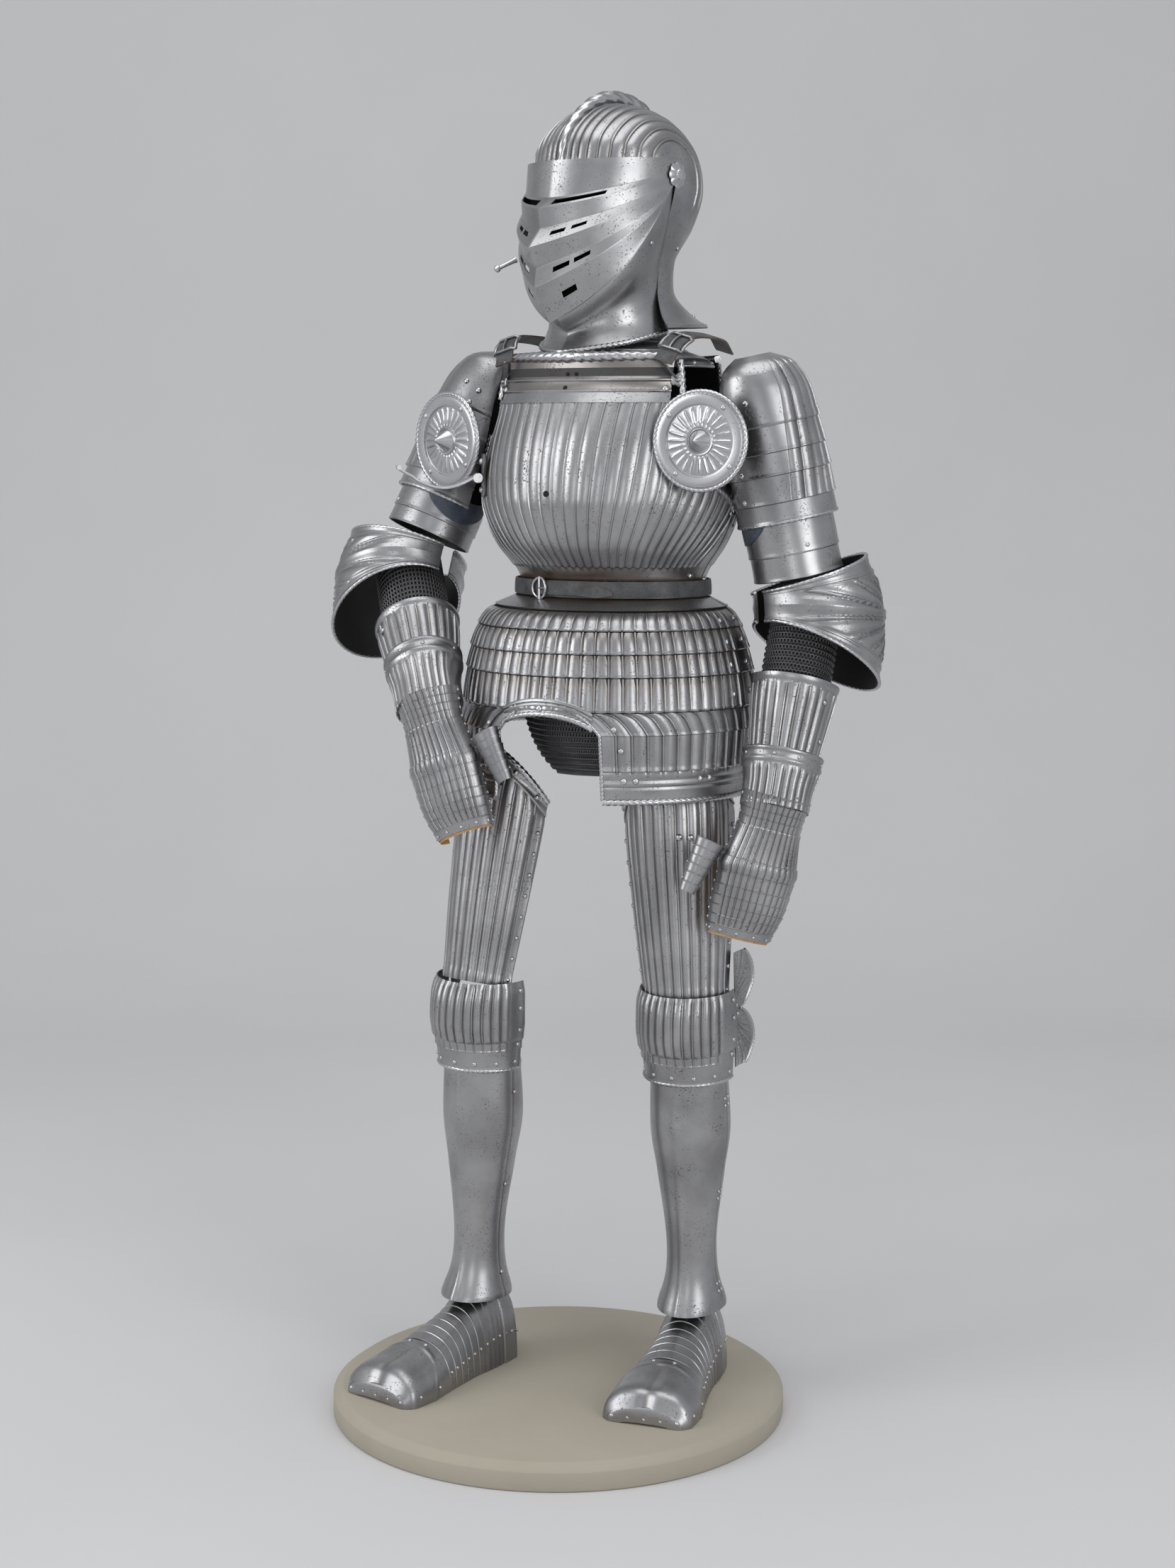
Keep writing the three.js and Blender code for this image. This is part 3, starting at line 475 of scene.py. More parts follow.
def tube(form: Form, place: Place, line: Array, radius: Union[float, Array], count: int = 10,
         flat: float = 1.0, slot: int = 0) -> None:
    """Add a closed tube along a line, with round or flattened sections.

    Args:
        form: what it is added to.
        place: its frame.
        line: the points it follows.
        radius: one radius, or one at each point.
        count: steps round the tube.
        flat: the section's height as a share of its width.
        slot: material number.
    """
    tangent = unit(np.gradient(line, axis=0))
    side = np.cross(tangent, [0.0, 0.0, 1.0])
    side = unit(np.where(np.linalg.norm(side, axis=1, keepdims=True) > 0.2, side,
                         np.cross(tangent, [0.0, 1.0, 0.0])))
    up = np.cross(side, tangent)
    angle = np.linspace(0, 2 * np.pi, count, endpoint=False)
    r = np.broadcast_to(radius, len(line))[:, None, None]
    body = line[:, None, :] + r * (
        np.cos(angle)[None, :, None] * side[:, None, :] + flat * np.sin(angle)[None, :, None] * up[:, None,
                                                                                                   :])
    rows = np.arange(len(line) - 1)[:, None] * count
    c, n = np.arange(count)[None, :], (np.arange(count)[None, :] + 1) % count
    quads = np.stack([rows + c, rows + count + c, rows + count + n, rows + n], -1).reshape(-1, 4)
    last = (len(line) - 1) * count
    faces = [(quads, slot), (np.arange(count)[None, :], slot), (last + np.arange(count)[None, ::-1], slot)]
    points = body.reshape(-1, 3)
    triangles = points[quads[:, :3]]
    volume = float(np.einsum("ij,ij->", triangles[:, 0], np.cross(triangles[:, 1], triangles[:, 2])))
    if (volume < 0) != place.mirror:
        faces = [(rows_[:, ::-1], number) for rows_, number in faces]
    form.add(place.put(points), faces)


# ------------------------------------------------------------------ geometry nodes
class Nodes:
    """A node tree, with a short way to add nodes."""

    def __init__(self, tree: bpy.types.NodeTree) -> None:
        """Work in this tree."""
        self.tree = tree

    def node(self, kind: str, inputs: Optional[dict] = None, **settings: object) -> bpy.types.Node:
        """Add a node, set its properties, then set or link its inputs."""
        node = self.tree.nodes.new(kind)
        for key, value in settings.items():
            setattr(node, key, value)
        for key, value in (inputs or {}).items():
            if isinstance(value, bpy.types.NodeSocket):
                self.tree.links.new(value, node.inputs[key])
            else:
                node.inputs[key].default_value = value
        return node


class Tree(Nodes):
    """A node tree for geometry, with named inputs and a short way to add nodes."""

    def __init__(self, name: str, **sizes: float) -> None:
        """Start a tree that takes geometry, a material and these sizes."""
        super().__init__(bpy.data.node_groups.new(name, "GeometryNodeTree"))
        add = self.tree.interface.new_socket
        add("Geometry", in_out="INPUT", socket_type="NodeSocketGeometry")
        self.names = {"Material": add("Material", in_out="INPUT",
                                      socket_type="NodeSocketMaterial").identifier}
        for size, value in sizes.items():
            socket = add(size, in_out="INPUT", socket_type="NodeSocketFloat")
            socket.default_value = value
            self.names[size] = socket.identifier
        add("Geometry", in_out="OUTPUT", socket_type="NodeSocketGeometry")
        self.start = self.node("NodeGroupInput")
        self.end = self.node("NodeGroupOutput")

    def read(self, name: str, kind: str = "FLOAT") -> bpy.types.NodeSocket:
        """Return a named attribute as a socket."""
        return self.node("GeometryNodeInputNamedAttribute", {"Name": name},
                         data_type=kind).outputs["Attribute"]

    def finish(self, geometry: bpy.types.NodeSocket) -> None:
        """End the tree in Realize Instances, smooth shading and Set Material."""
        real = self.node("GeometryNodeRealizeInstances", {"Geometry": geometry})
        smooth = self.node("GeometryNodeSetShadeSmooth", {"Geometry": real.outputs[0]})
        painted = self.node("GeometryNodeSetMaterial", {
            "Geometry": smooth.outputs[0], "Material": self.start.outputs["Material"]})
        self.tree.links.new(painted.outputs[0], self.end.inputs[0])

    def grow(self, name: str, mesh: bpy.types.Mesh, material: bpy.types.Material,
             **sizes: float) -> bpy.types.Object:
        """Run the tree on a mesh and return the result as a plain object."""
        seed = bpy.data.objects.new(name, mesh)
        bpy.context.collection.objects.link(seed)
        modifier = seed.modifiers.new("growth", "NODES")
        modifier.node_group = self.tree
        modifier[self.names["Material"]] = material
        for size, value in sizes.items():
            modifier[self.names[size]] = value
        graph = bpy.context.evaluated_depsgraph_get()
        grown = bpy.data.meshes.new_from_object(seed.evaluated_get(graph), depsgraph=graph)
        seed.modifiers.remove(modifier)
        seed.data = grown
        for attribute in [a.name for a in grown.attributes if a.name in SEED_ATTRIBUTES]:
            grown.attributes.remove(grown.attributes[attribute])
        grown.name = name
        return seed


SEED_ATTRIBUTES = ("size", "facing", "along", "thick", "twist")


def seed_mesh(name: str, points: Array, edges: Sequence[tuple] = (), **attributes: Array) -> bpy.types.Mesh:
    """Return a mesh of points and edges with attributes for a tree to read."""
    mesh = bpy.data.meshes.new(name)
    mesh.from_pydata((points * MM).tolist(), list(edges), [])
    for key, values in attributes.items():
        values = np.asarray(values, np.float32)
        if values.ndim == 2:
            mesh.attributes.new(key, "FLOAT_VECTOR", "POINT").data.foreach_set("vector", values.ravel())
        else:
            mesh.attributes.new(key, "FLOAT", "POINT").data.foreach_set("value", values)
    return mesh


class Growths:
    """The trees that make ropes, rivets and mail links."""

    def __init__(self) -> None:
        """Build each tree once."""
        self.rope = self.rope_tree()
        self.rivet = self.rivet_tree()
        self.link = self.link_tree()

    @staticmethod
    def rope_tree() -> Tree:
        """Return a tree that turns a polyline into a roped edge, twisted by its attributes."""
        tree = Tree("roped_edge", Lobes=4.0, Groove=0.26)
        curve = tree.node("GeometryNodeMeshToCurve", {"Mesh": tree.start.outputs["Geometry"]})
        tilt = tree.node("GeometryNodeSetCurveTilt",
                         {"Curve": curve.outputs[0], "Tilt": tree.read("twist")})
        wide = tree.node("GeometryNodeSetCurveRadius",
                         {"Curve": tilt.outputs[0], "Radius": tree.read("thick")})
        circle = tree.node("GeometryNodeCurvePrimitiveCircle", {"Resolution": 12, "Radius": 1.0})
        place = tree.node("GeometryNodeInputPosition").outputs[0]
        parts = tree.node("ShaderNodeSeparateXYZ", {0: place})
        angle = tree.node("ShaderNodeMath", {0: parts.outputs[1], 1: parts.outputs[0]}, operation="ARCTAN2")
        turns = tree.node("ShaderNodeMath", {0: angle.outputs[0], 1: tree.start.outputs["Lobes"]},
                          operation="MULTIPLY")
        wave = tree.node("ShaderNodeMath", {0: turns.outputs[0]}, operation="COSINE")
        valley = tree.node("ShaderNodeMath", {0: 1.0, 1: wave.outputs[0]}, operation="SUBTRACT")
        half = tree.node("ShaderNodeMath", {0: valley.outputs[0], 1: 0.5}, operation="MULTIPLY")
        deep = tree.node("ShaderNodeMath", {0: half.outputs[0], 1: tree.start.outputs["Groove"]},
                         operation="MULTIPLY")
        share = tree.node("ShaderNodeMath", {0: 1.0, 1: deep.outputs[0]}, operation="SUBTRACT")
        scaled = tree.node("ShaderNodeVectorMath", {0: place, "Scale": share.outputs[0]}, operation="SCALE")
        lobed = tree.node("GeometryNodeSetPosition",
                          {"Geometry": circle.outputs[0], "Position": scaled.outputs[0]})
        swept = tree.node("GeometryNodeCurveToMesh", {
            "Curve": wide.outputs[0], "Profile Curve": lobed.outputs[0], "Fill Caps": True})
        if "Scale" in swept.inputs:
            tree.tree.links.new(tree.read("thick"), swept.inputs["Scale"])
        tree.finish(swept.outputs[0])
        return tree

    @staticmethod
    def rivet_tree() -> Tree:
        """Return a tree that sets a domed rivet head on each point."""
        tree = Tree("rivet_heads", Height=0.62)
        ball = tree.node("GeometryNodeMeshUVSphere", {"Segments": 10, "Rings": 6, "Radius": 1.0})
        size = tree.node("ShaderNodeCombineXYZ", {0: 1.0, 1: 1.0, 2: tree.start.outputs["Height"]})
        dome = tree.node("GeometryNodeTransform", {"Geometry": ball.outputs[0], "Scale": size.outputs[0]})
        turn = tree.node("FunctionNodeAlignRotationToVector",
                         {"Vector": tree.read("facing", "FLOAT_VECTOR")}, axis="Z")
        heads = tree.node("GeometryNodeInstanceOnPoints", {
            "Points": tree.start.outputs["Geometry"], "Instance": dome.outputs[0],
            "Rotation": turn.outputs[0], "Scale": tree.read("size")})
        tree.finish(heads.outputs[0])
        return tree

    @staticmethod
    def link_tree() -> Tree:
        """Return a tree that sets a mail ring on each point."""
        tree = Tree("mail_links", Wire=0.24)
        ring = tree.node("GeometryNodeCurvePrimitiveCircle", {"Resolution": 8, "Radius": 1.0})
        wire = tree.node("GeometryNodeCurvePrimitiveCircle",
                         {"Resolution": 4, "Radius": tree.start.outputs["Wire"]})
        torus = tree.node("GeometryNodeCurveToMesh",
                          {"Curve": ring.outputs[0], "Profile Curve": wire.outputs[0]})
        turn = tree.node("FunctionNodeAlignRotationToVector",
                         {"Vector": tree.read("facing", "FLOAT_VECTOR")}, axis="Z")
        links = tree.node("GeometryNodeInstanceOnPoints", {
            "Points": tree.start.outputs["Geometry"], "Instance": torus.outputs[0],
            "Rotation": turn.outputs[0], "Scale": tree.read("size")})
        tree.finish(links.outputs[0])
        return tree


@dataclass
class Trim:
    """Ropes and rivets gathered along the plates of one assembly."""

    ROPE_STEP = 0.42

    ropes: list = field(default_factory=list)
    rivets: list = field(default_factory=list)

    def rope(self, place: Place, line: Array, radius: Union[float, Array], pace: float = 1.0,
             meet: bool = False) -> None:
        """Add a roped edge.

        Args:
            place: the line's frame.
            line: its points.
            radius: one radius, or one at each point of the line.
            pace: how steep the twist is; its sign gives the hand.
            meet: whether the twist turns back at the middle.
        """
        middle = float(np.mean(radius))
        even = resample(line, middle * self.ROPE_STEP)
        share = np.linspace(0, 1, len(even))
        thick = np.interp(share, np.linspace(0, 1, np.size(radius)), np.atleast_1d(radius))
        walked = np.concatenate([[0.0], np.cumsum(np.linalg.norm(np.diff(even, axis=0), axis=1))])
        travel = np.abs(walked - walked[-1] / 2) if meet else walked
        self.ropes.append((place.put(even), thick, pace * travel / middle * (-1 if place.mirror else 1)))

    def rivet(self, place: Place, spot: tuple, size: float = 3.6) -> None:
        """Add rivet heads of this radius at spots given as points and normals."""
        points, normals = (np.atleast_2d(part) for part in spot)
        for point, normal in zip(place.put(points), place.turn(normals)):
            self.rivets.append((point, normal, size))


# ------------------------------------------------------------------ finishes
class Shade(Nodes):
    """A material's node tree, with the sums and blends that finishes use."""

    def band(self, value: bpy.types.NodeSocket, low: float, high: float) -> bpy.types.NodeSocket:
        """Return a value stretched so that low gives 0 and high gives 1."""
        return self.node("ShaderNodeMapRange", {0: value, 1: low, 2: high}).outputs[0]

    def times(self, a: object, b: object) -> bpy.types.NodeSocket:
        """Return the product of two values."""
        return self.node("ShaderNodeMath", {0: a, 1: b}, operation="MULTIPLY").outputs[0]

    def plus(self, a: object, b: object) -> bpy.types.NodeSocket:
        """Return the sum of two values."""
        return self.node("ShaderNodeMath", {0: a, 1: b}, operation="ADD").outputs[0]

    def blend(self, share: object, a: object, b: object) -> bpy.types.NodeSocket:
        """Return a colour between two others."""
        node = self.node("ShaderNodeMix", {0: share, 6: a, 7: b}, data_type="RGBA")
        return node.outputs[2]


def grey(level: float, red: float = 1.0, blue: float = 1.0) -> tuple:
    """Return a near-grey colour."""
    return (level * red, level, level * blue, 1.0)


def patina_group() -> bpy.types.ShaderNodeTree:
    """Build the group that clouds, pits and specks a metal surface.

    Returns:
        A group with inputs Vector, Pits and Cloud, and outputs Cloud, Pits, Grain and Height.
    """
    group = bpy.data.node_groups.new("patina", "ShaderNodeTree")
    face = group.interface
    face.new_socket("Vector", in_out="INPUT", socket_type="NodeSocketVector")
    face.new_socket("Pitting", in_out="INPUT", socket_type="NodeSocketFloat").default_value = 0.5
    for name in ("Cloud", "Pits", "Grain", "Height"):
        face.new_socket(name, in_out="OUTPUT", socket_type="NodeSocketFloat")
    shade = Shade(group)
    start, end = shade.node("NodeGroupInput"), shade.node("NodeGroupOutput")
    vector = start.outputs["Vector"]
    cloud = shade.node("ShaderNodeTexNoise",
                       {"Vector": vector, "Scale": 13.0, "Detail": 4.0, "Roughness": 0.55})
    patch = shade.node("ShaderNodeTexNoise", {"Vector": vector, "Scale": 30.0, "Detail": 3.0})
    fine = shade.node("ShaderNodeTexNoise",
                      {"Vector": vector, "Scale": 420.0, "Detail": 3.0, "Roughness": 0.6})
    grain = shade.node("ShaderNodeTexNoise", {"Vector": vector, "Scale": 1500.0, "Detail": 1.0})
    reach = shade.plus(shade.times(patch.outputs[0], 0.34), shade.times(start.outputs["Pitting"], 0.07))
    raised = shade.plus(fine.outputs[0], reach)
    pits = shade.band(raised, 0.845, 0.93)
    waves = shade.node("ShaderNodeTexNoise", {"Vector": vector, "Scale": 46.0, "Detail": 1.0})
    height = shade.plus(shade.times(waves.outputs[0], 0.6), shade.times(pits, -0.35))
    shade.tree.links.new(shade.band(cloud.outputs[0], 0.3, 0.72), end.inputs["Cloud"])
    shade.tree.links.new(pits, end.inputs["Pits"])
    shade.tree.links.new(grain.outputs[0], end.inputs["Grain"])
    shade.tree.links.new(height, end.inputs["Height"])
    return group


@dataclass(frozen=True)
class Steel:
    """Polished plate that has clouded and pitted with age, with tarnish and painted shade in its recesses
    and a dark inner skin that is partly painted shade.
    """

    name: str = "polished_steel"
    bright: float = 0.44
    dull: float = 0.28
    rough: float = 0.32
    pitting: float = 0.8
    uneven: float = 0.0009

    def material(self, patina: bpy.types.ShaderNodeTree) -> bpy.types.Material:
        """Return the finish as a material."""
        material = bpy.data.materials.new(self.name)
        material.use_nodes = True
        shade = Shade(material.node_tree)
        surface = material.node_tree.nodes["Principled BSDF"]
        surface.inputs["Metallic"].default_value = 1.0
        place = shade.node("ShaderNodeTexCoord").outputs["Object"]
        aged = shade.node("ShaderNodeGroup", node_tree=patina)
        aged.inputs["Pitting"].default_value = self.pitting
        shade.tree.links.new(place, aged.inputs["Vector"])
        depth = shade.node("ShaderNodeAttribute", attribute_name="depth").outputs["Fac"]
        colour = shade.blend(aged.outputs["Cloud"], grey(self.dull, 1.0, 1.035),
                             grey(self.bright, 1.0, 1.02))
        colour = shade.blend(shade.times(aged.outputs["Pits"], 0.8), colour, grey(0.10, 1.05, 0.92))
        # Painted shade: recesses (depth below zero) are darkened and yellowed, partly tarnish in the
        # hollows and partly painted shade.
        colour = shade.blend(shade.times(shade.band(depth, -0.1, -0.5), 0.55), colour,
                             grey(0.20, 1.12, 0.85))
        # Painted shade: the inner skin is made near black and rougher, partly the unpolished inside and
        # partly painted shade.
        inner = shade.band(depth, -4.0, -6.0)
        colour = shade.blend(inner, colour, grey(0.09, 1.0, 1.0))
        shade.tree.links.new(colour, surface.inputs["Base Color"])
        rough = shade.plus(self.rough, shade.times(aged.outputs["Pits"], 0.3))
        rough = shade.plus(rough, shade.times(aged.outputs["Cloud"], -0.07))
        rough = shade.plus(rough, shade.times(aged.outputs["Grain"], 0.09))
        rough = shade.plus(rough, shade.times(inner, 0.3))
        shade.tree.links.new(rough, surface.inputs["Roughness"])
        bump = shade.node("ShaderNodeBump", {
            "Strength": 0.5, "Distance": self.uneven, "Height": aged.outputs["Height"]})
        shade.tree.links.new(bump.outputs[0], surface.inputs["Normal"])
        return material


@dataclass(frozen=True)
class Hide:
    """Leather with a grain, scuffs and darker hollows."""

    name: str
    base: tuple
    worn: tuple
    rough: float = 0.6
    grain: float = 520.0

    def material(self) -> bpy.types.Material:
        """Return the finish as a material."""
        material = bpy.data.materials.new(self.name)
        material.use_nodes = True
        shade = Shade(material.node_tree)
        surface = material.node_tree.nodes["Principled BSDF"]
        place = shade.node("ShaderNodeTexCoord").outputs["Object"]
        wear = shade.node("ShaderNodeTexNoise",
                          {"Vector": place, "Scale": 55.0, "Detail": 5.0, "Roughness": 0.65})
        cell = shade.node("ShaderNodeTexVoronoi", {"Vector": place, "Scale": self.grain})
        fine = shade.node("ShaderNodeTexNoise", {"Vector": place, "Scale": self.grain * 2, "Detail": 2.0})
        colour = shade.blend(shade.band(wear.outputs[0], 0.38, 0.75), self.base, self.worn)
        hollow = shade.band(cell.outputs["Distance"], 0.5, 0.9)
        colour = shade.blend(shade.times(hollow, 0.35), colour, (0.01, 0.01, 0.01, 1.0))
        shade.tree.links.new(colour, surface.inputs["Base Color"])
        rough = shade.plus(self.rough - 0.1, shade.times(fine.outputs[0], 0.22))
        shade.tree.links.new(rough, surface.inputs["Roughness"])
        height = shade.plus(shade.times(cell.outputs["Distance"], -0.7), shade.times(fine.outputs[0], 0.4))
        bump = shade.node("ShaderNodeBump", {"Strength": 0.5, "Distance": 0.0006, "Height": height})
        shade.tree.links.new(bump.outputs[0], surface.inputs["Normal"])
        return material


@dataclass(frozen=True)
class Paint:
    """Matt paint with a faint mottle."""

    name: str
    base: tuple
    mottle: tuple
    rough: float = 0.85
    scale: float = 9.0

    def material(self) -> bpy.types.Material:
        """Return the finish as a material."""
        material = bpy.data.materials.new(self.name)
        material.use_nodes = True
        shade = Shade(material.node_tree)
        surface = material.node_tree.nodes["Principled BSDF"]
        surface.inputs["Roughness"].default_value = self.rough
        place = shade.node("ShaderNodeTexCoord").outputs["Object"]
        broad = shade.node("ShaderNodeTexNoise",
                           {"Vector": place, "Scale": self.scale, "Detail": 6.0, "Roughness": 0.6})
        fine = shade.node("ShaderNodeTexNoise", {"Vector": place, "Scale": 900.0, "Detail": 2.0})
        colour = shade.blend(shade.band(broad.outputs[0], 0.3, 0.7), self.base, self.mottle)
        shade.tree.links.new(colour, surface.inputs["Base Color"])
        bump = shade.node("ShaderNodeBump",
                          {"Strength": 0.25, "Distance": 0.0004, "Height": fine.outputs[0]})
        shade.tree.links.new(bump.outputs[0], surface.inputs["Normal"])
        return material


class Finishes:
    """Every material of the suit, made once."""

    def __init__(self) -> None:
        """Make the materials."""
        patina = patina_group()
        self.steel = Steel().material(patina)
        self.edge_steel = Steel("bright_steel", 0.60, 0.46, 0.27, 0.15, 0.0004).material(patina)
        self.mail = Steel("dark_mail", 0.20, 0.12, 0.34, 0.2, 0.0).material(patina)
        # Painted shadow: near-black sheet that stands for the shade between and behind the mail rings.
        self.shadow = Hide("mail_shadow_sheet", grey(0.012), grey(0.02), 0.8).material()
        self.hide = Hide("dark_leather", grey(0.045, 0.95, 1.05), grey(0.11, 1.0, 1.0), 0.55).material()
        self.blue_hide = Hide("blue_grey_leather", grey(0.055, 0.75, 1.5), grey(0.10, 0.85, 1.3),
                              0.5).material()
        self.tan = Hide("tan_leather", (0.42, 0.24, 0.10, 1), (0.55, 0.36, 0.18, 1), 0.7).material()
        self.brown = Hide("brown_leather", (0.10, 0.07, 0.04, 1), (0.17, 0.12, 0.07, 1), 0.6).material()
        self.plinth = Paint("plinth_paint", (0.40, 0.365, 0.30, 1), (0.375, 0.34, 0.275, 1)).material()
        self.hole = Paint("hole_shadow", grey(0.004), grey(0.006)).material()


@dataclass
class Shop:
    """What every sub-assembly needs: the finishes, the trees and the way to hand in a piece."""

    finishes: Finishes
    growths: Growths
    triangles: int = 0

    def piece(self, name: str, form: Form, material: bpy.types.Material, replaces: Sequence[str] = (),
              slot: Slot = Slot.STEEL, body: Body = Body.SUIT,
              border: Optional[bpy.types.Material] = None) -> bpy.types.Object:
        """Make a gathered form into a piece that rides on a body.

        Args:
            name: the piece's name.
            form: what was gathered for it.
            material: its finish.
            replaces: the frame's nodes that it stands for.
            slot: the record's slot that its finish belongs to; not used.
            body: what it rides on.
            border: the finish of its cut edges, if that differs.

        Returns:
            The new object.
        """
        mesh = form.mesh(name)
        mesh.materials.append(material)
        if border is not None:
            mesh.materials.append(border)
        obj = bpy.data.objects.new(name, mesh)
        bpy.context.collection.objects.link(obj)
        return self.hand_in(obj, replaces, slot, body)

    def hand_in(self, obj: bpy.types.Object, replaces: Sequence[str], slot: Slot,
                body: Body) -> bpy.types.Object:
        """Tell the frame what a finished object is."""
        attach(obj, body.value)
        if replaces:
            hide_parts(*replaces)
        count = sum(len(p.vertices) - 2 for p in obj.data.polygons)
        self.triangles += count
        log.info("%s: %d triangles on %s", obj.name, count, body.value)
        return obj

    def trim(self, name: str, trim: Trim, body: Body = Body.SUIT) -> None:
        """Grow an assembly's ropes and rivets."""
        if trim.ropes:
            sizes = [len(rope[0]) for rope in trim.ropes]
            starts = np.concatenate([[0], np.cumsum(sizes)[:-1]])
            edges = [(s + i, s + i + 1) for s, n in zip(starts, sizes) for i in range(n - 1)]
            mesh = seed_mesh(name + "_ropes", np.concatenate([rope[0] for rope in trim.ropes]), edges,
                             thick=np.concatenate([rope[1] for rope in trim.ropes]) * MM,
                             twist=np.concatenate([rope[2] for rope in trim.ropes]))
            grown = self.growths.rope.grow(name + "_ropes", mesh, self.finishes.edge_steel)
            self.hand_in(grown, (), Slot.STEEL, body)
        if trim.rivets:
            points, normals, sizes = (np.array(part) for part in zip(*trim.rivets))
            mesh = seed_mesh(name + "_rivets", points, size=sizes * MM, facing=normals)
            grown = self.growths.rivet.grow(name + "_rivets", mesh, self.finishes.edge_steel)
            self.hand_in(grown, (), Slot.STEEL, body)


# ------------------------------------------------------------------ trunk
TRUNK_PLACE = Place.at(20, 115)
TRUNK = Rings((
    (1122, 136, 104, 103), (1142, 134, 102, 102), (1163, 142, 116, 109), (1189, 160, 142, 119),
    (1222, 176, 159, 127), (1255, 182, 166, 131), (1290, 178, 164, 133), (1325, 170, 156, 132),
    (1381, 157, 132, 124), (1420, 156, 111, 112), (1441, 156, 104, 104),
))


